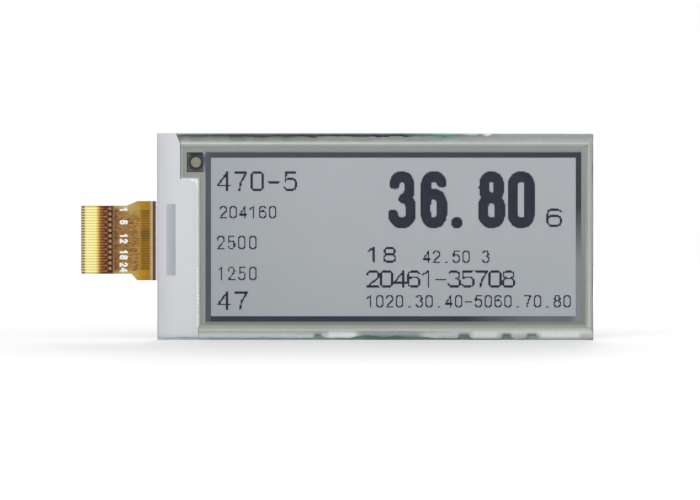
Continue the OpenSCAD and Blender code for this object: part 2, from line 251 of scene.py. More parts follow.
def place(tree, kind, *values, **settings):
    """A new node, with its settings and what goes into its first sockets."""
    node = tree.nodes.new(kind)
    for key, value in settings.items():
        setattr(node, key, value)
    for socket, value in zip(node.inputs, values):
        feed(tree, socket, value)
    return node


# %% [markdown]
# Most patterns start from where a point lies on the object. Calculations turn its coordinates
# into shares and masks, noise adds what is irregular, and the result picks the colour.

# %% Helpers that calculate
def maths(tree, operation, *values):
    """The result of a calculation with numbers and sockets."""
    return place(tree, "ShaderNodeMath", *values, operation=operation).outputs[0]


def spread(tree, value, start, stop, first, last, **settings):
    """A value's way from start to stop, stretched to run from first to last."""
    node = place(tree, "ShaderNodeMapRange", value, start, stop, first, last, **settings)
    return node.outputs[0]


def along(tree, value, start, stop):
    """A value as a share of the way from start to stop, from 0 to 1."""
    return spread(tree, value, start, stop, 0, 1)


def surface_place(tree):
    """Where a point lies on the object, in metres."""
    return place(tree, "ShaderNodeTexCoord").outputs["Object"]


def axes(tree, vector):
    """The three coordinates of a vector."""
    return place(tree, "ShaderNodeSeparateXYZ", vector).outputs[:]


def on_object(tree):
    """Where a point lies on the object, with its X and its Z, in metres."""
    where = surface_place(tree)
    x, _, z = axes(tree, where)
    return where, x, z


def noise_of(tree, vector, scale, detail=2):
    """Smooth noise, about 0.5 on average. The scale is in grains per metre."""
    texture = place(tree, "ShaderNodeTexNoise", vector)
    feed(tree, texture.inputs["Scale"], scale)
    texture.inputs["Detail"].default_value = detail
    return texture.outputs["Fac"]


def scaled(tree, colour, factor):
    """A colour made lighter or darker by a factor."""
    node = place(tree, "ShaderNodeVectorMath", colour, operation="SCALE")
    feed(tree, node.inputs["Scale"], factor)
    return node.outputs[0]


# %% [markdown]
# Effects that several finishes share are node groups, built once. The first lets a colour
# drift a little over the surface, at any scale, which keeps every finish from looking like
# flat paint. Its noise has several layers, from slow unevenness to fine grain.

# %% Node group: uneven colour
def new_group(name, inputs, outputs):
    """An empty node group: its tree, what it is given and what it puts out."""
    group = bpy.data.node_groups.new(name, "ShaderNodeTree")
    for direction, sockets in (("INPUT", inputs), ("OUTPUT", outputs)):
        for label, kind in sockets.items():
            group.interface.new_socket(label, in_out=direction, socket_type="NodeSocket" + kind)
    given = group.nodes.new("NodeGroupInput").outputs
    result = group.nodes.new("NodeGroupOutput").inputs
    print("node group:", name)
    return group, given, result


def use_group(tree, group, **given):
    """Places a node group, gives it its inputs and returns its outputs."""
    node = place(tree, "ShaderNodeGroup", node_tree=group)
    for label, value in given.items():
        feed(tree, node.inputs[label], value)
    return node.outputs


def make_uneven_group():
    group, given, result = new_group(
        "uneven_colour",
        {"Colour": "Color", "Vector": "Vector", "Scale": "Float", "Amount": "Float"},
        {"Colour": "Color"},
    )
    grain = noise_of(group, given["Vector"], given["Scale"], detail=3)
    centred = maths(group, "SUBTRACT", grain, 0.5)
    swing = maths(group, "MULTIPLY_ADD", centred, given["Amount"], 1)
    feed(group, result["Colour"], scaled(group, given["Colour"], swing))
    return group


UNEVEN = make_uneven_group()


def uneven(tree, colour, vector, scale, amount):
    """A colour that drifts with noise of a scale, in grains per metre, by an amount."""
    given = {"Colour": colour, "Vector": vector, "Scale": scale, "Amount": amount}
    return use_group(tree, UNEVEN, **given)["Colour"]


def paint(tree, shader, colour, vector, scale, amount):
    """Gives a shader a colour that drifts."""
    feed(tree, shader.inputs["Base Color"], uneven(tree, colour, vector, scale, amount))


# %% [markdown]
# The second group is a soft rectangle on the panel: 1 inside, 0 outside, with a blurred rim.
# It marks where a hidden piece shows through the one above it, such as the chip under the
# tape.

# %% Node group: soft rectangle
def make_patch_group():
    labels = ("Left", "Right", "Bottom", "Top", "Soft")
    inputs = {"Vector": "Vector"} | {label: "Float" for label in labels}
    group, given, result = new_group("soft_rectangle", inputs, {"Mask": "Float"})
    x, _, z = axes(group, given["Vector"])
    mask = 1
    for larger, smaller in (
        (x, given["Left"]), (given["Right"], x), (z, given["Bottom"]), (given["Top"], z),
    ):
        share = maths(group, "DIVIDE", maths(group, "SUBTRACT", larger, smaller), given["Soft"])
        side = spread(group, share, -1, 1, 0, 1, interpolation_type="SMOOTHSTEP")
        mask = maths(group, "MULTIPLY", mask, side)
    feed(group, result["Mask"], mask)
    return group


PATCH = make_patch_group()


def patch(tree, vector, low, high, soft):
    """A soft rectangle between two corners of the model."""
    return use_group(
        tree, PATCH, Vector=vector, Left=low[0], Right=high[0], Bottom=low[2], Top=high[2], Soft=soft
    )["Mask"]


# %% [markdown]
# Two more helpers work inside a material: one blends two colours by a mask, and one turns a
# share into colours by a list of stops.

# %% Helpers for colours
def blend_of(tree, mask, first, second):
    """Mixes two colours, each a constant or a socket, by a mask."""
    node = place(tree, "ShaderNodeMix", data_type="RGBA")
    feed(tree, node.inputs["Factor"], mask)
    colours = [socket for socket in node.inputs if socket.type == "RGBA"]
    for socket, colour in zip(colours, (first, second)):
        feed(tree, socket, colour)
    return [socket for socket in node.outputs if socket.type == "RGBA"][0]


def stops(tree, share, tone, *colours):
    """Colours along a share. Each stop is its place and the values that its tone takes."""
    node = place(tree, "ShaderNodeValToRGB", share)
    ramp = node.color_ramp
    for i, (spot, *values) in enumerate(colours):
        stop = ramp.elements[i] if i < 2 else ramp.elements.new(spot)
        stop.position = spot
        stop.color = tone(*values)
    return node.outputs["Color"]


# %% [markdown]
# Around the sheet, the tones follow the distance from its edge: the bare ink, the seal and
# the glass. A third group puts out that distance, in millimetres, counted from the sheet's
# edge outwards. It looks at the top, the right and the bottom, because the tape covers the
# left. A second output tells the right side from the others.

# %% Node group: distance beyond the sheet
def make_beyond_group():
    group, given, result = new_group(
        "beyond_sheet", {"Vector": "Vector"}, {"Distance": "Float", "Right": "Float"}
    )
    x, _, z = axes(group, given["Vector"])
    right, above, below = [
        spread(group, value, edge, edge + way * MM, 0, 1, clamp=False)
        for value, edge, way in ((x, sheet_high.x, 1), (z, sheet_high.z, 1), (z, sheet_low.z, -1))
    ]
    upright = maths(group, "MAXIMUM", above, below)
    feed(group, result["Distance"], maths(group, "MAXIMUM", right, upright))
    feed(group, result["Right"], maths(group, "GREATER_THAN", right, upright))
    return group


BEYOND = make_beyond_group()

# %% [markdown]
# The glass plate was scored and snapped out of a larger sheet, so its cut edges are chipped.
# The bare margins of its front face are painted grey: partly painted light, as lit glass
# looks over a white ground, and partly a film of residue on them. Patches of it are paler,
# murky or green where the chips begin. The margins are nearly opaque, and under the sheet
# and the tape the face is clear, so alpha does both.

# %% Spots on the bare glass
GLASS_ALPHA = 0.94
CLEAR_ALPHA = 0.02
RIM = 0.05 * MM
TAB_SPACE = 8.5 * MM
TOP_SPOTS = [(10.5, 15, 18.3, 21, 0.8, (100, 142, 132))]
BOTTOM_SPOTS = [
    (-3, 8.5, -21, -17.9, 1.1, (96, 114, 112)), (-8.6, -3.6, -18.5, -17.5, 0.5, (222, 228, 228)),
    (18, 22.4, -18.5, -17.5, 0.5, (212, 218, 216)), (30.4, 37.5, -18.5, -17.5, 0.5, (220, 225, 221)),
    (-11.2, -9.8, -20, -17.8, 0.45, (92, 112, 108)), (15.3, 17.3, -20, -17.8, 0.45, (92, 112, 108)),
    (23.3, 24.9, -20, -17.8, 0.45, (92, 112, 108)), (27.8, 29.6, -20, -17.8, 0.45, (92, 112, 108)),
]


def on_glass(red, green, blue):
    """The colour of the bare glass margins that looks like this one in front of white."""
    shares = [(value - 1 + GLASS_ALPHA) / GLASS_ALPHA for value in seen(red, green, blue)[:3]]
    return tuple(max(share, 0) for share in shares) + (1,)


def spotted(tree, where, colour, spots):
    """Lays soft spots over a colour. Left, right, bottom, top and softness are in mm."""
    for left, right, bottom, top, soft, tone in spots:
        low, high = (left * MM, 0, bottom * MM), (right * MM, 0, top * MM)
        colour = blend_of(tree, patch(tree, where, low, high, soft * MM), colour, on_glass(*tone))
    return colour


# %% Finish: the glass plate's front face
def glass_front_finish():
    material, tree, shader = finish_of("glass_front", seen(150, 158, 154), roughness=0.15)
    where, x, z = on_object(tree)
    beyond = use_group(tree, BEYOND, Vector=where)
    wave = spread(tree, noise_of(tree, where, scale=420), 0.3, 0.7, -0.12, 0.12)
    out = along(tree, maths(tree, "ADD", beyond["Distance"], wave), 0.5, 2.1)
    far = along(tree, x, 8 * MM, 24 * MM)
    near = along(tree, x, -8 * MM, -16 * MM)
    # Margin tones: partly painted light from the lit glass over a white ground, partly residue.
    top = blend_of(tree, far, stops(
        tree, out, on_glass, (0.0, 176, 180, 174), (0.125, 168, 172, 167), (0.29, 150, 153, 149),
        (0.46, 146, 153, 149), (0.6, 142, 152, 147), (0.72, 84, 92, 90), (1.0, 70, 78, 78),
    ), stops(
        tree, out, on_glass, (0.0, 188, 191, 185), (0.2, 176, 180, 176), (0.4, 164, 170, 166),
        (0.6, 156, 163, 160), (1.0, 164, 170, 167),
    ))
    top = blend_of(tree, near, top, stops(
        tree, out, on_glass, (0.0, 174, 178, 172), (0.125, 163, 167, 161), (0.29, 142, 147, 142),
        (0.46, 131, 139, 133), (0.6, 112, 121, 115), (0.72, 78, 87, 82), (1.0, 66, 74, 72),
    ))
    bottom = blend_of(tree, far, stops(
        tree, out, on_glass, (0.0, 190, 193, 188), (0.1, 180, 184, 179), (0.3, 174, 179, 176),
        (0.5, 194, 199, 199), (0.68, 192, 201, 203), (0.82, 176, 188, 191), (1.0, 146, 160, 164),
    ), stops(
        tree, out, on_glass, (0.0, 202, 208, 202), (0.15, 208, 214, 209), (0.4, 198, 202, 200),
        (0.65, 180, 184, 183), (1.0, 164, 168, 165),
    ))
    top = spotted(tree, where, top, TOP_SPOTS)
    bottom = spotted(tree, where, bottom, BOTTOM_SPOTS)
    margin = blend_of(tree, maths(tree, "GREATER_THAN", z, 0), bottom, top)
    side = stops(
        tree, along(tree, beyond["Distance"], 0.5, 1.1), on_glass,
        (0.0, 178, 180, 177), (0.5, 168, 169, 166), (1.0, 172, 173, 170),
    )
    colour = blend_of(tree, beyond["Right"], margin, side)
    paint(tree, shader, colour, where, scale=1300, amount=0.15)
    covered = patch(tree, where, sheet_low, sheet_high, RIM)
    notch = places("ledge_tape", 0)[1]
    for high in ((notch, 0, tape_high.z), (tape_high.x, 0, tape_high.z - TAB_SPACE)):
        covered = maths(tree, "MAXIMUM", covered, patch(tree, where, tape_low, high, RIM))
    feed(tree, shader.inputs["Alpha"], spread(tree, covered, 0, 1, GLASS_ALPHA, CLEAR_ALPHA))
    return material


GLASS_FRONT = glass_front_finish()


# %% [markdown]
# The back is clean glass. Face on it is nearly clear, and at a low angle it mirrors its
# surroundings like any pane. Refraction in half a millimetre of glass can't be seen, so an
# alpha that rises with the angle does it, which also renders faster.

# %% Finish: the glass plate's back
def glancing(tree, face_on, edge_on):
    """A value that goes from face_on to edge_on as a surface turns away from the eye."""
    glance = place(tree, "ShaderNodeLayerWeight", 0.5).outputs["Facing"]
    return spread(tree, maths(tree, "POWER", glance, 4), 0, 1, face_on, edge_on)


def glass_back_finish():
    tint = seen(120, 150, 140)
    material, tree, shader = finish_of("glass_back", tint, roughness=0.04)
    feed(tree, shader.inputs["Alpha"], glancing(tree, 0.04, 0.7))
    paint(tree, shader, tint, surface_place(tree), scale=200, amount=0.1)
    return material


GLASS_BACK = glass_back_finish()


# %% [markdown]
# The chips are slopes between the plate's front and its side. Seen from the front they are
# nearly black along the top, then sea green, then pale towards the far end, and a greyer
# green along the bottom. The greens are the glass's own tint, and the near black and the pale
# stretches are painted reflection. Each edge gets its own stops along the plate's length, and
# strong fine noise and relief break them up.

# %% Finish: chipped glass edges
def relief(tree, shader, vector, scale, height):
    """Fine bumps from noise, given as a real height."""
    bump = place(tree, "ShaderNodeBump")
    bump.inputs["Distance"].default_value = height
    feed(tree, bump.inputs["Height"], noise_of(tree, vector, scale))
    feed(tree, shader.inputs["Normal"], bump.outputs["Normal"])


def glass_edge_finish():
    material, tree, shader = finish_of(
        "glass_edge", seen(70, 95, 85), roughness=0.12, alpha=0.95, shine=0.25
    )
    where, x, z = on_object(tree)
    share = along(tree, x, glass_low.x, glass_high.x)
    # The near black and the pale stops are painted reflection; the greens are the glass's tint.
    inner = stops(
        tree, share, seen, (0.0, 88, 104, 98), (0.08, 52, 62, 60), (0.14, 8, 14, 16),
        (0.56, 8, 14, 18), (0.61, 70, 120, 106), (0.7, 60, 130, 108), (0.74, 180, 194, 188),
        (0.8, 242, 247, 245), (0.98, 234, 240, 236), (0.99, 106, 110, 106),
    )
    outer = stops(
        tree, share, seen, (0.0, 142, 152, 150), (0.2, 104, 116, 124), (0.56, 104, 114, 126),
        (0.62, 120, 160, 150), (0.74, 214, 226, 220), (1.0, 244, 248, 246),
    )
    bottom = stops(
        tree, share, seen, (0.0, 196, 207, 212), (0.08, 176, 189, 194), (0.12, 136, 160, 164),
        (0.4, 116, 140, 136), (0.52, 70, 100, 88), (0.6, 96, 118, 110), (0.78, 98, 118, 108),
        (0.9, 150, 156, 150), (0.98, 156, 160, 156), (0.99, 106, 110, 106),
    )
    outwards = along(tree, z, glass_high.z - 0.34 * MM, glass_high.z - 0.14 * MM)
    top = blend_of(tree, outwards, inner, outer)
    colour = blend_of(tree, maths(tree, "GREATER_THAN", z, 0), bottom, top)
    paint(tree, shader, colour, where, scale=1500, amount=0.5)
    relief(tree, shader, where, scale=2500, height=0.05 * MM)
    return material


GLASS_EDGE = glass_edge_finish()


# %% [markdown]
# The plate starts as a grid. Extruding it twice makes the side wall and the slope, and the
# chips are made by drawing the front rim back. The cells next to the rim give way with it.
# Each chip is a place along the edge, half its length and its depth, all in millimetres, and
# noise makes its outline uneven. Each slope is its depth at the left, how much less deep it
# gets to the right, and between which places.

# %% Glass plate: how deep the chips go
TOP_CHIPS = [(-30, 4, 0.1), (-21, 3, 0.2), (-11.4, 1.1, 0.35), (-4, 2, 0.2), (1.2, 1.8, 0.3),
             (5.5, 1.2, 0.18), (13, 1.9, 0.5), (17.4, 1.5, 0.35), (20.5, 0.8, 0.45)]
BOTTOM_CHIPS = [(-36, 2.5, 0.1), (-29, 3, 0.08), (-20, 3, 0.06), (-10.4, 1.2, 0.5), (-1.5, 3.2, 0.5),
                (4, 2.2, 0.45), (9, 2, 0.2), (16.4, 1.5, 0.6), (24.2, 1.2, 0.6), (28.7, 1.3, 0.6)]
SIDE_CHIPS = [(12, 3, 0.1), (-8, 4, 0.08)]
TOP_SLOPE, BOTTOM_SLOPE, SIDE_SLOPE = (0.5, 0.36, 6, 18), (0.34, 0.12, 6, 20), (0.14, 0, 0, 1)
EDGE_WANDER, EDGE_SCALE = 0.35, 0.9
CHIP_WANDER, CHIP_SCALE = 0.25, 3


def fade(value, start, stop):
    """0 before start, 1 after stop, smooth in between."""
    share = min(max((value - start) / (stop - start), 0), 1)
    return share * share * (3 - 2 * share)


def chip_depth(place_mm, chips, slope):
    """How far the front face stays back from the edge, at a place along it, in metres."""
    base, less, start, stop = slope
    base -= less * fade(place_mm, start, stop)
    depth = base * (1 + EDGE_WANDER * noise.noise(Vector((place_mm * EDGE_SCALE, base, 0))))
    for centre, half, deepest in chips:
        share = (place_mm - centre) / half
        if abs(share) < 1:
            wander = 1 + CHIP_WANDER * noise.noise(Vector((place_mm * CHIP_SCALE, 1, 0)))
            depth += deepest * (1 - share * share) * wander
    return depth * MM


# %% Glass plate: the mesh
GLASS_CELLS = (160, 76)
SLOPE_START = 0.3
GIVING_WAY = 4
FACING = 0.999


def draw_back(corner):
    """Draws a corner of the front away from the plate's edges, by the chips there."""
    x, z = corner.co.x / MM, corner.co.z / MM
    half_x, half_z = glass_high.x / MM, glass_high.z / MM
    near_z = fade(abs(z), half_z - GIVING_WAY, half_z)
    near_x = fade(abs(x), half_x - GIVING_WAY, half_x)
    chips, slope = (TOP_CHIPS, TOP_SLOPE) if z > 0 else (BOTTOM_CHIPS, BOTTOM_SLOPE)
    corner.co.z -= math.copysign(chip_depth(x, chips, slope) * near_z, z)
    corner.co.x -= math.copysign(chip_depth(z, SIDE_CHIPS, SIDE_SLOPE) * near_x, x)


def glass_plate():
    size = glass_high - glass_low
    bm = bmesh.new()
    bmesh.ops.create_grid(bm, x_segments=GLASS_CELLS[0], y_segments=GLASS_CELLS[1], size=0.5)
    bmesh.ops.scale(bm, vec=(size.x, size.z, 1), verts=bm.verts)
    bmesh.ops.rotate(bm, verts=bm.verts, matrix=Matrix.Rotation(math.radians(90), 3, "X"))
    front = bm.faces[:]
    for depth in (-SLOPE_START * MM, glass_low.y + GAP):
        made = bmesh.ops.extrude_face_region(bm, geom=front)
        front = [part for part in made["geom"] if isinstance(part, bmesh.types.BMFace)]
        corners = {corner for face in front for corner in face.verts}
        for corner in corners:
            corner.co.y = depth
    for corner in corners:
        draw_back(corner)
    bm.normal_update()
    for face in bm.faces:
        face.material_index = 2
        if abs(face.normal.y) > FACING:
            face.material_index = 1 if face.calc_center_median().y > -SLOPE_START * MM else 0
    return keep(bm, "glass_plate", [GLASS_FRONT, GLASS_BACK, GLASS_EDGE])


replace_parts(glass_plate(), "backplane_glass")

# %% [markdown]
# Electronic ink is a film full of tiny capsules. White particles float in front of black
# ones, and a dark picture element is one whose particles have changed places. The sheet of
# ink reaches beyond the picture area, where nothing drives it and it stays a warm grey. The
# ink takes the model's own outline, with the opening over the corner contact. A thin strip
# beside that contact shimmers from grey to blue.


# %% Finish: ink
def ink_finish():
    material, tree, shader = finish_of("ink", under_clear(168, 172, 177), roughness=0.55, shine=0.2)
    where, x, z = on_object(tree)
    height = along(tree, z, border_low.z, border_high.z)
    wide = blend_of(tree, height, under_clear(167, 172, 176), under_clear(170, 174, 178))
    start = along(tree, along(tree, x, active_low.x, active_high.x), 0, 0.3)
    picture = blend_of(tree, start, under_clear(160, 165, 169), wide)
    out = along(tree, use_group(tree, BEYOND, Vector=where)["Distance"], -1.2, -0.3)
    low = stops(tree, out, under_clear, (0.0, 118, 122, 116), (0.4, 126, 130, 122), (1.0, 148, 152, 143))
    high = stops(tree, out, under_clear, (0.0, 130, 135, 137), (0.4, 145, 149, 148), (1.0, 156, 160, 156))
    left = along(tree, x, border_low.x, border_low.x - 0.1 * MM)
    margin = blend_of(tree, left, blend_of(tree, height, low, high), under_clear(148, 149, 142))
    inside = patch(tree, where, border_low, border_high, RIM)
    strip = patch(
        tree, where, (pad_high.x, 0, pad_low.z), (border_low.x, 0, pad_high.z - 0.1 * MM), 0.1 * MM
    )
    stripe = stops(
        tree, along(tree, z, pad_low.z, pad_high.z), under_clear,
        (0.0, 118, 123, 122), (0.2, 118, 123, 132), (0.45, 94, 94, 110),
        (0.72, 66, 72, 88), (0.85, 100, 106, 122), (1.0, 146, 154, 178),
    )
    colour = blend_of(tree, strip, blend_of(tree, inside, margin, picture), stripe)
    drift = uneven(tree, colour, where, scale=120, amount=0.06)
    paint(tree, shader, drift, where, scale=6000, amount=0.1)
    relief(tree, shader, where, scale=9000, height=0.002 * MM)
    return material


INK = ink_finish()

# %% Ink film
lamination_low, lamination_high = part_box("lamination_adhesive")
INK_TOP = lamination_low.y - 7 * HAIR
ink_bm = merged_copy("ink_layer")
relevel(ink_bm, INK_TOP, lamination_high.y - GAP)
cut_cells(ink_bm)
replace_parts(keep(ink_bm, "ink_film", INK), "ink_layer", "lamination_adhesive")


# %% [markdown]
# Everything dark on the display is ink too: the border, and the figures. The border is
# driven dark by its own electrode, and round the lower right corner it has faded. The tone
# of that fading follows the distance from the corner.

# %% Finish: dark ink
FADE_START, FADE_END = 21 * MM, 11 * MM


def distance_from(tree, vector, spot):
    """How far a point lies from a place on the model."""
    node = place(tree, "ShaderNodeVectorMath", vector, spot, operation="DISTANCE")
    return node.outputs["Value"]


def dark_ink_finish():
    material, tree, shader = finish_of("dark_ink", seen(44, 47, 60), roughness=0.5, shine=0.1)
    where, x, z = on_object(tree)
    across = along(tree, x, border_low.x, border_high.x)
    height = along(tree, z, border_low.z, border_high.z)
    top = blend_of(tree, across, under_clear(70, 74, 83), under_clear(56, 59, 67))
    dark = blend_of(tree, height, under_clear(50, 57, 70), top)
    left = along(tree, x, active_low.x, active_low.x - 0.1 * MM)
    dark = blend_of(tree, left, dark, under_clear(76, 83, 92))
    side = along(tree, x, active_high.x - 1 * MM, active_high.x)
    light = blend_of(tree, side, under_clear(102, 107, 114), under_clear(127, 132, 139))
    corner = (border_high.x, border_low.y, border_low.z)
    near = along(tree, distance_from(tree, where, corner), FADE_START, FADE_END)
    ring = blend_of(tree, near, dark, light)
    figures = patch(tree, where, active_low, active_high, 0.01 * MM)
    tone = blend_of(tree, figures, ring, under_clear(42, 43, 57))
    drift = uneven(tree, tone, where, scale=180, amount=0.2)
    paint(tree, shader, drift, where, scale=6000, amount=0.2)
    return material


DARK_INK = dark_ink_finish()

# %% Dark border
SHOWN_BACK = INK_TOP - GAP
SHOWN_FRONT = SHOWN_BACK - GAP
border_bm = merged_copy("border_electrode")
relevel(border_bm, SHOWN_FRONT, SHOWN_BACK)
cut_cells(border_bm)
keep(border_bm, "dark_border", DARK_INK)


# %% [markdown]
# The figures are made of the display's own picture elements, 296 by 128 of them. Every
# figure is a few strokes, lines and arcs in a box one wide and one high, and an element turns
# dark if its middle lies within half a stroke of one of them. The display shows plain
# numbers only.

# %% Figures: their strokes
FULLNESS = 0.8
ARC_STEPS = 28


def arc(x, z, rx, rz, start, stop):
    """Points along an arc that is a little fuller than an ellipse's, its angles in degrees."""
    points = []
    for i in range(ARC_STEPS + 1):
        angle = math.radians(start + (stop - start) * i / ARC_STEPS)
        c, s = math.cos(angle), math.sin(angle)
        points.append((
            x + rx * math.copysign(abs(c) ** FULLNESS, c), z + rz * math.copysign(abs(s) ** FULLNESS, s)
        ))
    return points


STROKES = {
    "0": [arc(0.5, 0.74, 0.5, 0.26, 0, 180) + arc(0.5, 0.26, 0.5, 0.26, 180, 360) + [(1, 0.74)]],
    "1": [[(0.1, 0.78), (0.58, 1), (0.58, 0)]],
    "2": [arc(0.5, 0.72, 0.48, 0.28, 175, -25) + [(0.0, 0.0), (1.0, 0.0)]],
    "3": [arc(0.48, 0.76, 0.44, 0.24, 165, -80), arc(0.48, 0.27, 0.52, 0.27, 80, -165)],
    "4": [[(0.78, 0), (0.78, 1), (0.0, 0.27), (1.0, 0.27)]],
    "5": [[(0.92, 1), (0.12, 1), (0.06, 0.52)] + arc(0.48, 0.32, 0.52, 0.32, 130, -155)],
    "6": [arc(0.52, 0.74, 0.48, 0.26, 25, 180) + [(0.02, 0.3)], arc(0.51, 0.31, 0.49, 0.31, 0, 360)],
    "7": [[(0, 1), (1, 1), (0.55, 0.45), (0.4, 0)]],
    "8": [arc(0.5, 0.77, 0.43, 0.23, 0, 360), arc(0.5, 0.27, 0.5, 0.27, 0, 360)],
    "-": [[(0.1, 0.45), (0.9, 0.45)]],
    ".": [[(0.42, 0.0), (0.58, 0.0)]],
}


def gap_to(point, line):
    """The distance from a point to a line through several points."""
    best = math.inf
    for (x0, z0), (x1, z1) in zip(line, line[1:]):
        dx, dz = x1 - x0, z1 - z0
        length = dx * dx + dz * dz
        share = 0
        if length:
            share = min(max(((point[0] - x0) * dx + (point[1] - z0) * dz) / length, 0), 1)
        best = min(best, math.hypot(point[0] - x0 - share * dx, point[1] - z0 - share * dz))
    return best


# %% Figures: which picture elements are dark
COLUMNS, ROWS = 296, 128


def dark_elements(text, left, top, width, height, step, stroke):
    """The picture elements of a line of figures, counted from the area's top left corner."""
    found = set()
    reach_x, reach_z = width - stroke, height - stroke
    for index, figure in enumerate(text):
        for line in STROKES.get(figure, []):
            start = left + index * step + stroke / 2
            points = [(start + x * reach_x, top + height - stroke / 2 - z * reach_z) for x, z in line]
            for column in range(int(start - stroke), int(start + width + stroke)):
                for row in range(int(top) - 1, int(top + height) + 2):
                    if gap_to((column + 0.5, row + 0.5), points) <= stroke / 2:
                        found.add((column, row))
    return found


# %% Figures: the mesh
def cells_of(elements, columns, rows):
    """The chosen cells of a grid one wide and one high that faces the front."""
    bm = bmesh.new()
    bmesh.ops.create_grid(bm, x_segments=columns, y_segments=rows, size=0.5)
    unused = []
    for face in bm.faces:
        middle = face.calc_center_median()
        if (int((middle.x + 0.5) * columns), int((0.5 - middle.y) * rows)) not in elements:
            unused.append(face)
    bmesh.ops.delete(bm, geom=unused, context="FACES")
    bmesh.ops.rotate(bm, verts=bm.verts, matrix=Matrix.Rotation(math.radians(90), 3, "X"))
    return bm


def thicken(bm, back, front):
    """Gives flat cells their two depths."""
    made = bmesh.ops.extrude_face_region(bm, geom=bm.faces[:])
    raised = {part for part in made["geom"] if isinstance(part, bmesh.types.BMVert)}
    for corner in bm.verts:
        corner.co.y = front if corner in raised else back


def shown_figures(name, *lines):
    """Lines of figures as a thin layer of ink."""
    dark = set().union(*[dark_elements(*line) for line in lines])
    bm = cells_of(dark, COLUMNS, ROWS)
    size = active_high - active_low
    bmesh.ops.scale(bm, vec=(size.x, 1, size.z), verts=bm.verts)
    bmesh.ops.translate(bm, verts=bm.verts, vec=(active_low + active_high) / 2)
    thicken(bm, SHOWN_BACK, SHOWN_FRONT)
    keep(bm, name, DARK_INK)


# Each line is its text, left, top, a figure's width and height, the step and the stroke.
shown_figures(
    "price_figures",
    ("36", 144, 11, 22.5, 46, 25.5, 8.6), (".", 195, 48, 9, 9, 9, 9), ("80", 216.5, 11, 22.5, 46, 24, 8.6),
)
shown_figures(
    "small_figures",
    ("470-5", 5, 11, 11, 16, 13.5, 1.6), ("204160", 7, 39, 6, 10, 8, 1.2),
    ("2500", 5, 63, 6, 11, 8.6, 1.2), ("1250", 5, 88, 6, 11, 8.6, 1.2),
    ("47", 5, 108, 11, 15, 14, 1.6), ("6", 272, 41, 13, 15, 14, 1.6),
    ("18", 126, 72, 11, 13, 13.5, 1.6), ("42.50 3", 172, 75, 6, 10, 8, 1.2),
    ("20461-35708", 126, 91, 11, 14, 11, 1.5), ("1020.30.40-5060.70.80", 126, 111, 6, 10, 8, 1.2),
)

# %% [markdown]
# Above the ink lie clear layers: the film with the transparent electrode, and the protective
# sheet with its adhesive. Refraction matters little in sheets this thin, so they are made
# see-through by alpha, with more gloss at a low angle, as a clear film has. Their cut sides
# catch light and are less clear, which a mask from the surface normal brings out.


# %% Finish: clear films
def clear_finish(name, tint, roughness, least):
    material, tree, shader = finish_of(name, tint, roughness)
    _, forwards, _ = axes(tree, place(tree, "ShaderNodeNewGeometry").outputs["Normal"])
    side = along(tree, maths(tree, "ABSOLUTE", forwards), 0.9, 0.3)
    alpha = maths(tree, "MAXIMUM", maths(tree, "MULTIPLY", side, 0.4), glancing(tree, least, 0.5))
    feed(tree, shader.inputs["Alpha"], alpha)
    paint(tree, shader, tint, surface_place(tree), scale=300, amount=0.06)
    return material


SHEET = clear_finish("protective_sheet", seen(190, 193, 189), roughness=0.3, least=0.015)
FILM = clear_finish("electrode_film", seen(170, 174, 168), roughness=0.25, least=0.0)

# %% Clear layers
SHEET_BEVEL = 0.04 * MM
film_bm = merged_copy("electrode_film")
relevel(film_bm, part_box("electrode_film")[0].y + GAP, SHOWN_FRONT - 2 * GAP)
cut_cells(film_bm)
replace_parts(keep(film_bm, "clear_electrode_film", FILM), "electrode_film")

sheet_bm = merged_copy("protective_sheet")
relevel(sheet_bm, sheet_low.y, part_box("optical_adhesive")[1].y - GAP)
rims = [edge for edge in sheet_bm.edges if all(v.co.y < sheet_low.y + MERGE for v in edge.verts)]
bmesh.ops.bevel(
    sheet_bm, geom=rims, offset=SHEET_BEVEL, segments=2, profile=0.5, affect="EDGES", material=-1
)
cut_cells(sheet_bm)
clear_sheet = keep(sheet_bm, "clear_sheet", SHEET, smooth=35)
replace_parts(clear_sheet, "protective_sheet", "optical_adhesive")


# %% [markdown]
# A bead of clear seal runs round the sheet where moisture would get in. It was laid by a
# needle, so its foot wanders a little. The model's bead is cut into short lengths, and the
# corners that stand on the glass are moved by noise. Its tone follows the distance from the
# sheet, with a painted highlight along the bead, and its lower side is painted lighter and
# its upper and right ones darker, as painted light and shade.

# %% Finish: seal
def seal_finish():
    material, tree, shader = finish_of("seal", seen(182, 185, 179), roughness=0.3)
    where, _, z = on_object(tree)
    beyond = use_group(tree, BEYOND, Vector=where)
    out = along(tree, beyond["Distance"], -0.4, 0.65)
    # The light peak in these stops is a painted highlight along the bead.
    top = stops(
        tree, out, seen, (0.0, 168, 172, 168), (0.3, 180, 184, 178), (0.45, 187, 190, 184),
        (0.7, 187, 190, 184), (1.0, 182, 186, 180),
    )
    bottom = stops(
        tree, out, seen, (0.0, 148, 151, 144), (0.33, 153, 156, 147), (0.52, 162, 165, 157),
        (0.66, 179, 182, 175), (0.85, 205, 208, 201), (1.0, 204, 207, 202),
    )
    raised = along(tree, z, sheet_low.z + 0.2 * MM, sheet_low.z + 0.6 * MM)
    colour = blend_of(tree, maths(tree, "MAXIMUM", raised, beyond["Right"]), bottom, top)
    # Painted light and shade: the lower side is lighter and the right side darker.
    painted_light_by_height = spread(tree, z, sheet_low.z, sheet_high.z, 1.12, 0.95)
    painted_shade_at_right = spread(tree, beyond["Right"], 0, 1, 1, 0.84)
    lit = scaled(tree, colour, maths(tree, "MULTIPLY", painted_light_by_height, painted_shade_at_right))
    paint(tree, shader, lit, where, scale=700, amount=0.12)
    relief(tree, shader, where, scale=1800, height=0.01 * MM)
    return material


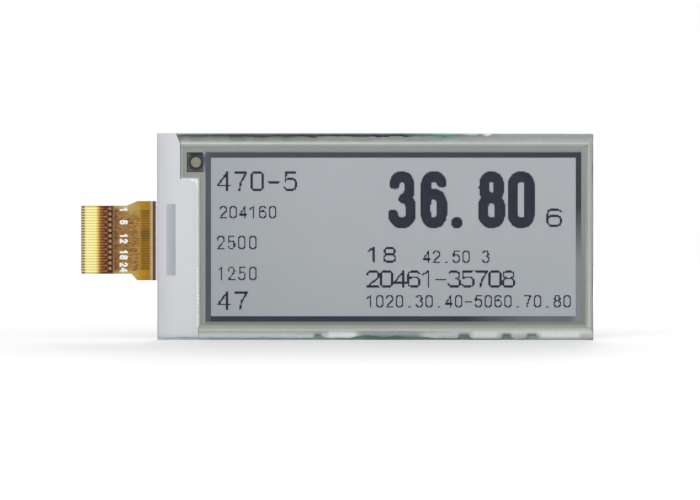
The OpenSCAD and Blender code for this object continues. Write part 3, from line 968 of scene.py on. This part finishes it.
# %% Seal bead
FOOT_WANDER = 0.16
WANDER_SCALE = 450
SEAL_CUTS = (50, 24)
seal_bm = merged_copy("edge_seal")
slice_up(seal_bm, 0, places("protective_sheet", 0)[1], sheet_high.x, SEAL_CUTS[0])
slice_up(seal_bm, 2, sheet_low.z, sheet_high.z, SEAL_CUTS[1])
for corner in seal_bm.verts:
    outside_x = max(corner.co.x - sheet_high.x, 0)
    outside_z = max(sheet_low.z - corner.co.z, corner.co.z - sheet_high.z, 0)
    shift = FOOT_WANDER * noise.noise(corner.co * WANDER_SCALE)
    corner.co.x += outside_x * shift
    corner.co.z += math.copysign(outside_z * shift, corner.co.z)
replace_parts(keep(seal_bm, "seal_bead", seal_finish(), smooth=40), "edge_seal")


# %% [markdown]
# The corner contact lies open under the clear layers: a dark pad on the glass, with a dot of
# silver paste that feeds the clear electrode. Paste dries as a flat dome with a rough skin,
# and the pad is darker in a ring round it.

# %% Finishes: pad and silver paste
PAD_RIM = Vector((0.22, 0, 0.22)) * MM
dot_middle = (dot_low + dot_high) / 2


def pad_finish():
    material, tree, shader = finish_of("contact_pad", seen(84, 84, 86), roughness=0.4, shine=0.15)
    where = surface_place(tree)
    inner = patch(tree, where, pad_low + PAD_RIM, pad_high - PAD_RIM, 0.12 * MM)
    plate = blend_of(tree, inner, under_clear(56, 60, 62), under_clear(91, 92, 90))
    ring = along(tree, distance_from(tree, where, dot_middle), 1.75 * MM, 1.25 * MM)
    plate = blend_of(tree, ring, plate, under_clear(42, 42, 48))
    top = patch(tree, where, (pad_low.x + 0.5 * MM, 0, pad_high.z - 0.6 * MM), pad_high, 0.15 * MM)
    plate = blend_of(tree, top, plate, under_clear(36, 37, 42))
    paint(tree, shader, plate, where, scale=2600, amount=0.7)
    return material


def paste_finish():
    material, tree, shader = finish_of("silver_paste", seen(150, 148, 122), roughness=0.5, shine=0.3)
    where = surface_place(tree)
    colour = stops(
        tree, along(tree, distance_from(tree, where, dot_middle), 0, 1 * MM), under_clear,
        (0.0, 142, 138, 98), (0.35, 134, 131, 104), (0.6, 132, 131, 114), (0.9, 132, 132, 117),
        (1.0, 112, 112, 102),
    )
    paint(tree, shader, colour, where, scale=2600, amount=0.6)
    relief(tree, shader, where, scale=5000, height=0.03 * MM)
    return material


# %% Pad and silver dot
DOT_SEGMENTS = 40
UNROUND, UNROUND_SCALE = 0.06, 5


def dress(node, material):
    """Gives a model piece its finish."""
    mesh = nodes[node].data
    mesh.materials.clear()
    mesh.materials.append(material)


def silver_dot():
    size = dot_high - dot_low
    bm = bmesh.new()
    bmesh.ops.create_uvsphere(
        bm, u_segments=DOT_SEGMENTS, v_segments=DOT_SEGMENTS // 2, radius=0.5
    )
    parts = bm.verts[:] + bm.edges[:] + bm.faces[:]
    bmesh.ops.bisect_plane(bm, geom=parts, plane_co=(0, 0, 0), plane_no=(0, 1, 0), clear_outer=True)
    bmesh.ops.holes_fill(bm, edges=[edge for edge in bm.edges if edge.is_boundary])
    for corner in bm.verts:
        corner.co *= 1 - UNROUND * (1 + noise.noise(corner.co * UNROUND_SCALE))
    bmesh.ops.scale(bm, vec=(size.x, 2 * size.y, size.z), verts=bm.verts)
    base = Vector((dot_middle.x, dot_high.y - HAIR, dot_middle.z))
    bmesh.ops.translate(bm, verts=bm.verts, vec=base)
    return keep(bm, "paste_dot", paste_finish(), smooth=50)


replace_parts(silver_dot(), "silver_dot")
dress("common_pad", pad_finish())


# %% [markdown]
# White tape covers the ledge with the chip and the tail's root. It is thin enough for the
# chip to show through as a grey block, sharp on the side of the display and soft on the
# other. Its left edge is painted darker as shade, and its right cut edge lighter as a painted
# highlight. The tape swells over the chip, its cut edges aren't quite straight, and its lower
# end reaches past the resin and comes down to the glass.

# %% Finish: white tape
def tape_finish():
    material, tree, shader = finish_of("white_tape", seen(209, 211, 214), roughness=0.42)
    where, x, _ = on_object(tree)
    # The darker left edge is painted shade, and the light right edge a painted highlight.
    body = stops(
        tree, along(tree, x, tape_low.x, tape_high.x), seen,
        (0.0, 180, 181, 184), (0.08, 196, 197, 202), (0.2, 200, 201, 206), (0.4, 205, 208, 211),
        (0.8, 206, 209, 212), (0.96, 204, 206, 205), (1.0, 212, 214, 212),
    )
    over_chip = along(tree, x, chip_low.x, chip_high.x)
    shadow = blend_of(tree, over_chip, seen(176, 177, 182), seen(156, 163, 173))
    mask = patch(tree, where, chip_low - Vector((0.15 * MM, 0, 0)), chip_high, 0.12 * MM)
    paint(tree, shader, blend_of(tree, mask, body, shadow), where, scale=260, amount=0.05)
    relief(tree, shader, where, scale=700, height=0.02 * MM)
    return material


# %% Tape
TAPE_CUTS = (16, 74)
TAPE_STEP = 0.5 * MM
TAPE_END = 2 * MM
TAPE_REACH, REACH_WANDER = 0.42 * MM, 0.5
TAPE_DROP = 0.2 * MM
SIDE_WANDER = 0.05 * MM
SWELL, WAVE, WAVE_SCALE = 0.02 * MM, 0.012 * MM, 220
RAGGED_SCALE = 300
resin_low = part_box("ledge_resin")[0]


def within(value, low, high):
    """1 between two places, and 0 a step outside them."""
    return fade(value, low - TAPE_STEP, low) * fade(-value, -high - TAPE_STEP, -high)


tape_bm = merged_copy("ledge_tape")
relevel(tape_bm, tape_low.y + HAIR, tape_high.y - GAP)
slice_up(tape_bm, 0, tape_low.x, tape_high.x, TAPE_CUTS[0])
slice_up(tape_bm, 2, tape_low.z, tape_high.z, TAPE_CUTS[1])
for corner in tape_bm.verts:
    if corner.co.y < (tape_low.y + tape_high.y) / 2:
        over_chip = within(corner.co.x, chip_low.x, chip_high.x)
        over_chip *= within(corner.co.z, chip_low.z, chip_high.z)
        corner.co.y -= SWELL * over_chip + WAVE * noise.noise(corner.co * WAVE_SCALE)
    corner.co.y += TAPE_DROP * fade(-corner.co.z, -resin_low.z, -tape_low.z)
    lower = fade(-corner.co.z, -tape_low.z - TAPE_END, -tape_low.z)
    ragged = 1 + REACH_WANDER * noise.noise(Vector((corner.co.x * RAGGED_SCALE, 0, 0)))
    corner.co.z -= TAPE_REACH * lower * ragged
    edge = fade(-corner.co.x, -tape_low.x - TAPE_STEP, -tape_low.x)
    ragged = 1 + noise.noise(Vector((0, 0, corner.co.z * RAGGED_SCALE)))
    corner.co.x += SIDE_WANDER * edge * ragged
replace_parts(keep(tape_bm, "white_tape", tape_finish(), smooth=50), "ledge_tape")


# %% [markdown]
# The tail is one strip of amber film, from its bonded root over the bend to the contacts, and
# its copper is another. The model has each in three pieces, because its middle bends. Here the
# three are joined again into one strip. A strip that bends moves through the finish's
# coordinates, so it gets a UV map of its own, U along it and V across.

# %% Join the tail's stretches
BEND_STEPS = 24
BEND_MARGIN = 0.1 * MM


def tail_share(place_x):
    """A place along the tail as its share of the UV map."""
    return (place_x - tip_low.x) / (root_high.x - tip_low.x)


def across_share(place_z):
    """A place across the tail as its share of the UV map."""
    return (place_z - root_low.z) / (root_high.z - root_low.z)


def tail_strip(name, material, slot, stretches, low, high):
    """The stretches of one layer joined as one strip, with its UV map along and across it."""
    bm = merged_copy(*stretches, seams=(bend_low.x, bend_high.x))
    slice_up(bm, 0, bend_low.x - BEND_MARGIN, bend_high.x + BEND_MARGIN, BEND_STEPS)
    relevel(bm, low.y + HAIR, high.y - HAIR)
    strip = keep(bm, name, material, body=None)
    layer = strip.data.uv_layers.new(name="tail")
    for loop in strip.data.loops:
        corner = strip.data.vertices[loop.vertex_index].co
        layer.data[loop.index].uv = (tail_share(corner.x), across_share(corner.z))
    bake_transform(strip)
    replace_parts(strip, *stretches)


# %% [markdown]
# The film is painted along its length by what lies behind it: bright between the gold
# contacts, dark under the cover film, golden with brown tracks in the bare stretch, then a
# painted highlight as a pale line, the dark glue at the glass's edge, and a whitish painted
# reflection where the film goes under the tape. The group below finds evenly spaced tracks
# across the tail, and serves again for the rows of plated holes and for the fine grid of the
# picture circuits.


# %% Node group: tracks across the tail
def make_tracks_group():
    labels = ("Across", "Middle", "Spacing", "Width", "Count")
    group, given, result = new_group(
        "tracks_across", {label: "Float" for label in labels}, {"Mask": "Float", "Area": "Float"}
    )
    offset = maths(group, "SUBTRACT", given["Across"], given["Middle"])
    steps = maths(group, "DIVIDE", offset, given["Spacing"])
    away = maths(group, "ABSOLUTE", maths(group, "SUBTRACT", maths(group, "FRACT", steps), 0.5))
    filled = maths(group, "DIVIDE", given["Width"], given["Spacing"])
    stripe = spread(group, maths(group, "MULTIPLY_ADD", away, -2, filled), -0.12, 0.12, 0, 1)
    half_count = maths(group, "MULTIPLY", given["Count"], 0.5)
    inside = maths(group, "LESS_THAN", maths(group, "ABSOLUTE", steps), half_count)
    feed(group, result["Mask"], maths(group, "MULTIPLY", stripe, inside))
    feed(group, result["Area"], inside)
    return group


TRACKS = make_tracks_group()

# %% Measure the tracks and the contacts
TRACK_COUNT = 24
OUTER_ROW = sorted(
    corner.co.z for corner in nodes["plated_holes"].data.vertices if corner.co.x < hole_low.x + MERGE
)
CONTACT_SPACING = (OUTER_ROW[-1] - OUTER_ROW[0]) / (TRACK_COUNT - 2)
lead_low, lead_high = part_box("bend_leads")
LEAD_WIDTH = places("bend_leads", 2)[1] - lead_low.z
LEAD_SPACING = (lead_high.z - lead_low.z - LEAD_WIDTH) / (TRACK_COUNT - 1)
STUB_END = places("contact_fingers", 0)[1]
print("leads in mm:", round(LEAD_WIDTH / MM, 3), "wide, every", round(LEAD_SPACING / MM, 3))
print("contacts in mm: every", round(CONTACT_SPACING / MM, 3))


# %% Tones along and across the tail
def factors(red, green, blue):
    """Factors for the three channels, as a colour."""
    return (red, green, blue, 1)


glass_edge = glass_low.x
TAIL_TONES_AND_HIGHLIGHTS = [(tail_share(spot), *tone) for spot, *tone in (
    (tip_low.x, 132, 112, 70), (STUB_END, 138, 116, 70), (STUB_END + 0.1 * MM, 206, 196, 128),
    (cover_low.x - 0.8 * MM, 204, 190, 118), (cover_low.x - 0.35 * MM, 184, 146, 78),
    (cover_low.x, 150, 102, 44), (cover_low.x + 0.6 * MM, 122, 76, 38),
    (cover_high.x - 0.3 * MM, 116, 74, 52), (cover_high.x + 0.1 * MM, 176, 138, 52),
    (cover_high.x + 0.5 * MM, 167, 128, 27), (glass_edge - 1.42 * MM, 158, 118, 30),
    # The pale stops 1.08 and 0.88 mm before the glass's edge are a painted highlight, and the whitish last
    # stops a painted reflection.
    (glass_edge - 1.28 * MM, 164, 130, 66), (glass_edge - 1.08 * MM, 186, 153, 112),
    (glass_edge - 0.88 * MM, 206, 176, 142), (glass_edge - 0.74 * MM, 86, 72, 52),
    (glass_edge - 0.26 * MM, 84, 72, 54), (glass_edge - 0.16 * MM, 238, 230, 235),
    (root_high.x, 238, 230, 235),
)]
TAIL_SHADES = [(across_share(spot * MM), *shade) for spot, *shade in (
    (-1.0, 1, 1, 1), (-0.4, 0.74, 0.8, 1.25), (0.9, 0.62, 0.7, 1.4), (1.3, 1, 1, 1),
    (2.6, 1.16, 1.1, 1), (4.0, 1, 1, 1.1),
)]


# %% Finish: amber film
def amber_finish():
    material, tree, shader = finish_of("amber_film", seen(160, 120, 26), roughness=0.3, shine=0.12)
    uv = place(tree, "ShaderNodeUVMap", uv_map="tail").outputs["UV"]
    u, v, _ = axes(tree, uv)
    ground = stops(tree, u, seen, *TAIL_TONES_AND_HIGHLIGHTS)
    width = root_high.z - root_low.z
    tracks = use_group(
        tree, TRACKS, Across=v, Middle=across_share((tracks_low.z + tracks_high.z) / 2),
        Spacing=LEAD_SPACING / width, Width=LEAD_WIDTH / width, Count=TRACK_COUNT,
    )
    lines = blend_of(tree, tracks["Mask"], seen(153, 114, 38), seen(120, 83, 22))
    shade = stops(tree, v, factors, *TAIL_SHADES)
    toned = place(tree, "ShaderNodeVectorMath", lines, shade, operation="MULTIPLY").outputs[0]
    low = along(tree, u, tail_share(cover_high.x), tail_share(cover_high.x + 0.5 * MM))
    high = along(tree, u, tail_share(glass_edge - 1.25 * MM), tail_share(glass_edge - 1.45 * MM))
    shown = maths(tree, "MULTIPLY", tracks["Area"], maths(tree, "MULTIPLY", low, high))
    in_metres = place(tree, "ShaderNodeMapping", uv)
    in_metres.inputs["Scale"].default_value = (root_high.x - tip_low.x, width, 1)
    colour = blend_of(tree, shown, ground, toned)
    paint(tree, shader, colour, in_metres.outputs[0], scale=1100, amount=0.35)
    return material


# %% Amber film
film_pieces = ["bonded_film", "bend_film", "tail_film"]
tail_strip("amber_film", amber_finish(), "amber_film", film_pieces, *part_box("tail_film"))


# %% [markdown]
# The copper runs behind the film, from the plated holes over the fan to the bond. Copper
# under a clear cover is a warm brown, and fingers that stay bare are plated with gold, which
# looks pale yellow in bright light. The gold darkens at the narrow stubs and where the cover
# film begins.

# %% Finishes: copper and gold
def copper_finish():
    tint = seen(205, 150, 96)
    material, tree, shader = finish_of("copper", tint, roughness=0.35, metallic=0.9)
    uv = place(tree, "ShaderNodeUVMap", uv_map="tail").outputs["UV"]
    paint(tree, shader, tint, uv, scale=60, amount=0.3)
    return material


def gold_finish():
    material, tree, shader = finish_of("gold_plate", seen(241, 228, 157), roughness=0.3, metallic=0.85)
    where, x, _ = on_object(tree)
    end = cover_low.x + 0.6 * MM
    stub = (STUB_END - tip_low.x) / (end - tip_low.x)
    cover = (cover_low.x - tip_low.x) / (end - tip_low.x)
    colour = stops(
        tree, along(tree, x, tip_low.x, end), seen,
        (0.0, 202, 186, 146), (stub - 0.03, 208, 190, 136), (stub + 0.08, 238, 226, 160),
        (stub + 0.2, 241, 230, 158), (cover - 0.16, 239, 226, 152), (cover - 0.1, 224, 190, 114),
        (cover - 0.05, 202, 158, 90), (cover - 0.01, 184, 132, 64), (cover, 214, 166, 92),
        (1.0, 240, 196, 140),
    )
    paint(tree, shader, colour, where, scale=2500, amount=0.12)
    relief(tree, shader, where, scale=6000, height=0.004 * MM)
    return material


# %% Copper and contacts
copper_pieces = ["bonded_leads", "bend_leads", "tail_tracks"]
tail_strip("copper_tracks", copper_finish(), "copper", copper_pieces, tracks_low, tracks_high)

fingers_bm = merged_copy("contact_fingers")
relevel(fingers_bm, tip_low.y + HAIR, tip_high.y - HAIR)
fingers = keep(fingers_bm, "gold_fingers", gold_finish(), body="tail")
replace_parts(fingers, "contact_fingers")


# %% [markdown]
# The cover film on the front starts where the bare fingers end. Over the stiffener it is a
# dark red brown that lets the gold necks and the pads of the plated holes show. Beyond the
# stiffener the whole tail is thinner, and light from behind turns it golden brown, with the
# fine streaks of the fan and paler margins where there is no copper.

# %% Tones along the cover film
STIFF_END = (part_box("contact_stiffener")[1].x - cover_low.x) / MM


def at(place_mm):
    """A distance from the cover film's start as a share of its length."""
    return place_mm * MM / (cover_high.x - cover_low.x)


def past_stiff(place_mm):
    """A distance from the stiffener's end as a share of the cover film's length."""
    return at(STIFF_END + place_mm)


COVER_TONES = [
    (0.0, 190, 140, 64), (at(0.25), 158, 102, 44), (at(0.45), 134, 80, 32),
    (at(0.65), 116, 64, 34), (at(0.95), 112, 56, 40), (at(1.7), 104, 54, 40),
    (past_stiff(-0.25), 86, 50, 32), (past_stiff(-0.1), 124, 88, 60),
    (past_stiff(0.06), 138, 108, 80), (past_stiff(0.24), 126, 88, 52),
    (past_stiff(0.45), 120, 82, 46), (past_stiff(1.0), 146, 108, 62),
    (at(6.9), 152, 114, 60), (at(7.1), 160, 122, 66), (1.0, 168, 132, 72),
]
MARGIN_TONES = [
    (past_stiff(0), 150, 122, 80), (past_stiff(0.8), 168, 144, 92),
    (past_stiff(2.0), 192, 174, 124), (past_stiff(3.2), 186, 162, 96),
    (past_stiff(4.2), 182, 152, 76), (1.0, 178, 144, 60),
]
print("stiffener ends", round(STIFF_END, 2), "mm into the cover film")


# %% Finish: front cover film
def cover_finish():
    material, tree, shader = finish_of("cover_film", seen(150, 108, 54), roughness=0.32, shine=0.15)
    where, x, z = on_object(tree)
    share = along(tree, x, cover_low.x, cover_high.x)
    ground = stops(tree, share, seen, *COVER_TONES)
    margins = stops(tree, share, seen, *MARGIN_TONES)
    beyond = maths(tree, "GREATER_THAN", share, past_stiff(0))
    widening = along(tree, share, past_stiff(1.2), past_stiff(3.2))
    wide = maths(tree, "MULTIPLY", along(tree, z, 3.4 * MM, 5.2 * MM), widening)
    above = along(tree, z, 4.9 * MM, 5.3 * MM)
    below = along(tree, z, -6.1 * MM, -6.5 * MM)
    outside = maths(tree, "MAXIMUM", maths(tree, "MAXIMUM", above, below), wide)
    rows = use_group(
        tree, TRACKS, Across=z, Middle=(OUTER_ROW[0] + OUTER_ROW[-1]) / 2,
        Spacing=2 * CONTACT_SPACING, Width=0.85 * CONTACT_SPACING, Count=TRACK_COUNT / 2,
    )["Mask"]
    pads = 0
    for start, stop, soft, on_row, between in (
        (hole_low.x - 0.22 * MM, hole_low.x + 0.26 * MM, 0.22, seen(164, 112, 84), seen(86, 44, 32)),
        (hole_high.x - 0.26 * MM, hole_high.x + 0.2 * MM, 0.1, seen(46, 22, 14), seen(190, 148, 108)),
    ):
        zone = patch(tree, where, (start, 0, tip_low.z), (stop, 0, tip_high.z), soft * MM)
        ground = blend_of(tree, zone, ground, blend_of(tree, rows, between, on_row))
        pads = maths(tree, "MAXIMUM", pads, zone)
    lean = place(tree, "ShaderNodeMapping", where)
    lean.inputs["Rotation"].default_value = (0, math.radians(14), 0)
    lean.inputs["Scale"].default_value = (0.28, 1, 1)
    streaks = uneven(tree, ground, lean.outputs[0], scale=4400, amount=3.0)
    covered = blend_of(tree, beyond, ground, streaks)
    colour = blend_of(tree, maths(tree, "MULTIPLY", beyond, outside), covered, margins)
    paint(tree, shader, colour, where, scale=2600, amount=0.5)
    clear = spread(tree, share, past_stiff(-0.2), past_stiff(0), 0.35, 0.97)
    alpha = maths(tree, "MAXIMUM", clear, maths(tree, "MULTIPLY", pads, 0.72))
    feed(tree, shader.inputs["Alpha"], alpha)
    return material


dress("front_coverlay", cover_finish())

# %% [markdown]
# White numbers are printed on the cover film, each beside the contact that it counts. They
# use the same strokes as the display's figures, in bolder and finer cells, and read from the
# top down.

# %% Printed contact numbers
PRINT_CELL = 0.06 * MM
PRINT_HEIGHT = 25
PRINT_WIDTH = 14
PRINT_STEP = 16
PRINT_STROKE = 5.6
PRINT_LEFT = cover_low.x + 3.66 * MM


def plain_finish(name, colour, roughness, scale, amount, metallic=0.0, alpha=1.0):
    """A finish of one colour that drifts with noise."""
    material, tree, shader = finish_of(name, colour, roughness, metallic, alpha)
    paint(tree, shader, colour, surface_place(tree), scale, amount)
    return material


def printed_numbers():
    length = tip_high.z - tip_low.z
    columns = round(length / PRINT_CELL)
    dark = set()
    for number in (1, 6, 12, 18, 24):
        text = str(number)
        extent = PRINT_STEP * len(text) - (PRINT_STEP - PRINT_WIDTH)
        contact = (number - 0.5) / TRACK_COUNT * columns
        left = min(max(contact - extent / 2, 0), columns - extent)
        dark |= dark_elements(text, left, 0, PRINT_WIDTH, PRINT_HEIGHT, PRINT_STEP, PRINT_STROKE)
    bm = cells_of(dark, columns, PRINT_HEIGHT)
    bmesh.ops.scale(bm, vec=(length, 1, PRINT_HEIGHT * PRINT_CELL), verts=bm.verts)
    bmesh.ops.rotate(bm, verts=bm.verts, matrix=Matrix.Rotation(math.radians(90), 3, "Y"))
    middle = Vector((PRINT_LEFT + PRINT_HEIGHT * PRINT_CELL / 2, 0, (tip_low.z + tip_high.z) / 2))
    bmesh.ops.translate(bm, verts=bm.verts, vec=middle)
    thicken(bm, cover_low.y - HAIR, cover_low.y - HAIR - GAP)
    white = plain_finish("white_print", seen(236, 236, 233), 0.5, 2600, 0.3)
    keep(bm, "printed_numbers", white, body="tail")


printed_numbers()

# %% [markdown]
# What lies behind and inside keeps the model's own shape, and each piece needs only its
# colour, gloss and grain. The bonding films are clear resin full of tiny metal balls, so they
# are partly see-through, and the chip shows through the glass from behind. The back cover
# film is clearer still, and the copper fan shows through it.

# %% Finishes for what lies behind and inside
for node, name, colour, roughness, scale, amount, metallic, alpha in (
    ("back_coverlay", "back_cover_film", (170, 122, 58), 0.32, 1500, 0.3, 0, 0.3),
    ("contact_stiffener", "stiffener", (188, 150, 80), 0.38, 900, 0.2, 0, 1),
    ("stiffener_adhesive", "stiffener_glue", (214, 200, 160), 0.3, 900, 0.1, 0, 1),
    ("plated_holes", "hole_copper", (205, 150, 96), 0.35, 4000, 0.3, 0.9, 1),
    ("edge_glue", "edge_glue", (76, 62, 44), 0.2, 1200, 0.5, 0, 1),
    ("driver_chip", "silicon", (74, 78, 88), 0.12, 500, 0.2, 0, 1),
    ("chip_bond_film", "chip_bond", (112, 108, 92), 0.4, 3000, 0.4, 0, 0.55),
    ("tail_bond_film", "tail_bond", (124, 116, 96), 0.4, 3000, 0.4, 0, 0.55),
    ("ledge_resin", "resin", (214, 218, 216), 0.2, 600, 0.1, 0, 0.35),
    ("glass_tracks", "glass_tracks", (112, 108, 98), 0.3, 900, 0.2, 0.8, 1),
    ("border_electrode", "border_metal", (96, 100, 112), 0.35, 300, 0.2, 0.6, 1),
):
    dress(node, plain_finish(name, seen(*colour), roughness, scale, amount, metallic, alpha))


# %% [markdown]
# Behind the ink lies a transistor for every picture element, too small to see one by one. A
# grid of fine lines at the real spacing, drawn by the tracks group in both directions, gives
# the silky grey that such a panel has from behind.

# %% Finish: picture circuits
def circuit_finish():
    material, tree, shader = finish_of(
        "pixel_circuits", seen(112, 112, 108), roughness=0.35, metallic=0.4
    )
    where, x, z = on_object(tree)
    size = active_high - active_low
    colour = uneven(tree, seen(120, 118, 112), where, scale=60, amount=0.5)
    for value, low, length, count in (
        (x, active_low.x, size.x, COLUMNS), (z, active_low.z, size.z, ROWS),
    ):
        lines = use_group(
            tree, TRACKS, Across=value, Middle=low + length / 2, Spacing=length / count,
            Width=0.2 * length / count, Count=count,
        )
        colour = blend_of(tree, lines["Mask"], colour, seen(84, 86, 84))
    feed(tree, shader.inputs["Base Color"], colour)
    return material


dress("pixel_array", circuit_finish())

# %% [markdown]
# The scene is a plain white studio, with even light from all sides. The floor and the world
# look white to the camera without shining more light on the object. The floor glows less
# near the object, so that its shadow shows, and more far away, so that no horizon does.


# %% Floor and surroundings
AMBIENT = 0.62
NEAR_GLOW, FAR_GLOW = 0.1, 0.55
GLOW_START, GLOW_END = 60 * MM, 400 * MM
FLOOR_SIZE = 1.5


def white_to_camera(tree):
    """1 for rays that should see a white background, and 0 for light that falls on things."""
    path = place(tree, "ShaderNodeLightPath").outputs
    direct = maths(tree, "MAXIMUM", path["Is Camera Ray"], path["Is Glossy Ray"])
    return maths(tree, "MAXIMUM", direct, path["Is Transmission Ray"])


def studio_floor():
    material, tree, shader = finish_of("studio_floor", seen(240, 240, 240), roughness=0.6)
    shader.inputs["Emission Color"].default_value = (1, 1, 1, 1)
    away = place(tree, "ShaderNodeVectorMath", surface_place(tree), operation="LENGTH")
    level = spread(tree, away.outputs["Value"], GLOW_START, GLOW_END, NEAR_GLOW, FAR_GLOW)
    glow = maths(tree, "MULTIPLY", white_to_camera(tree), level)
    feed(tree, shader.inputs["Emission Strength"], glow)
    bm = bmesh.new()
    bmesh.ops.create_grid(bm, x_segments=2, y_segments=2, size=FLOOR_SIZE)
    bmesh.ops.translate(bm, verts=bm.verts, vec=(0, 0, cad_low.z - HAIR))
    floor = keep(bm, "floor", material, body=None)
    floor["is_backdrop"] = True


def studio_world():
    world = bpy.data.worlds.new("studio")
    world.use_nodes = True
    tree = world.node_tree
    background = tree.nodes["Background"]
    background.inputs["Color"].default_value = (1, 1, 1, 1)
    level = spread(tree, white_to_camera(tree), 0, 1, AMBIENT, 1)
    feed(tree, background.inputs["Strength"], level)
    bpy.context.scene.world = world


studio_floor()
studio_world()


# %% [markdown]
# A wide soft lamp lights the display from the front left, a weaker one fills in from the
# right, and a third lights the back, which would be dull without it. Large round lamps give
# the soft gradients of a studio on glossy films.

# %% Lamps
def soft_lamp(name, where, size, power):
    """A round lamp that points at the object."""
    data = bpy.data.lights.new(name, "AREA")
    data.shape = "DISK"
    data.size = size
    data.energy = power
    lamp = bpy.data.objects.new(name, data)
    lamp.location = where
    aim = (cad_low + cad_high) / 2 - Vector(where)
    lamp.rotation_euler = aim.to_track_quat("-Z", "Y").to_euler()
    bpy.context.scene.collection.objects.link(lamp)
    print(name, "gives", power, "W")


soft_lamp("key_lamp", (-0.16, -0.42, 0.3), size=0.36, power=0.9)
soft_lamp("fill_lamp", (0.3, -0.3, 0.12), size=0.3, power=0.25)
soft_lamp("back_lamp", (0.05, 0.4, 0.3), size=0.3, power=0.5)

# %% [markdown]
# The photograph looks straight at the display. A long lens from a third of a metre gives the
# same flat view. The object isn't quite in the picture's middle, so the camera stands a
# little to its side and below, and looks straight ahead.

# %% Camera
IMAGE_WIDTH, IMAGE_HEIGHT = 700, 500
PIXELS_PER_MM = 5.46
OBJECT_MIDDLE_PX = (337.3, 236.5)
LENS_MM = 100

camera_data = bpy.data.cameras.new("front_camera")
camera_data.lens = LENS_MM
camera_data.clip_start = 0.01
distance = LENS_MM * IMAGE_WIDTH / (camera_data.sensor_width * PIXELS_PER_MM) * MM
across = (IMAGE_WIDTH / 2 - OBJECT_MIDDLE_PX[0]) / PIXELS_PER_MM * MM
down = (IMAGE_HEIGHT / 2 - OBJECT_MIDDLE_PX[1]) / PIXELS_PER_MM * MM
camera = bpy.data.objects.new("front_camera", camera_data)
middle = (cad_low + cad_high) / 2
camera.location = (middle.x + across, cad_low.y - distance, middle.z - down)
camera.rotation_euler = (math.radians(90), 0, 0)
bpy.context.scene.collection.objects.link(camera)
bpy.context.scene.camera = camera
bpy.context.scene.view_settings.view_transform = "Standard"
print("camera stands", round(distance / MM), "mm away")

# %% [markdown]
# At the end, the box round everything that is seen is measured, and its growth over the
# model's own is printed. The two should agree, because a finish must not make the object larger.

# %% Compare the sizes and finish
seen_low, seen_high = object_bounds()
growth = (cad_low - seen_low)[:] + (seen_high - cad_high)[:]
print("grown by mm:", [round(1000 * side, 4) for side in growth])
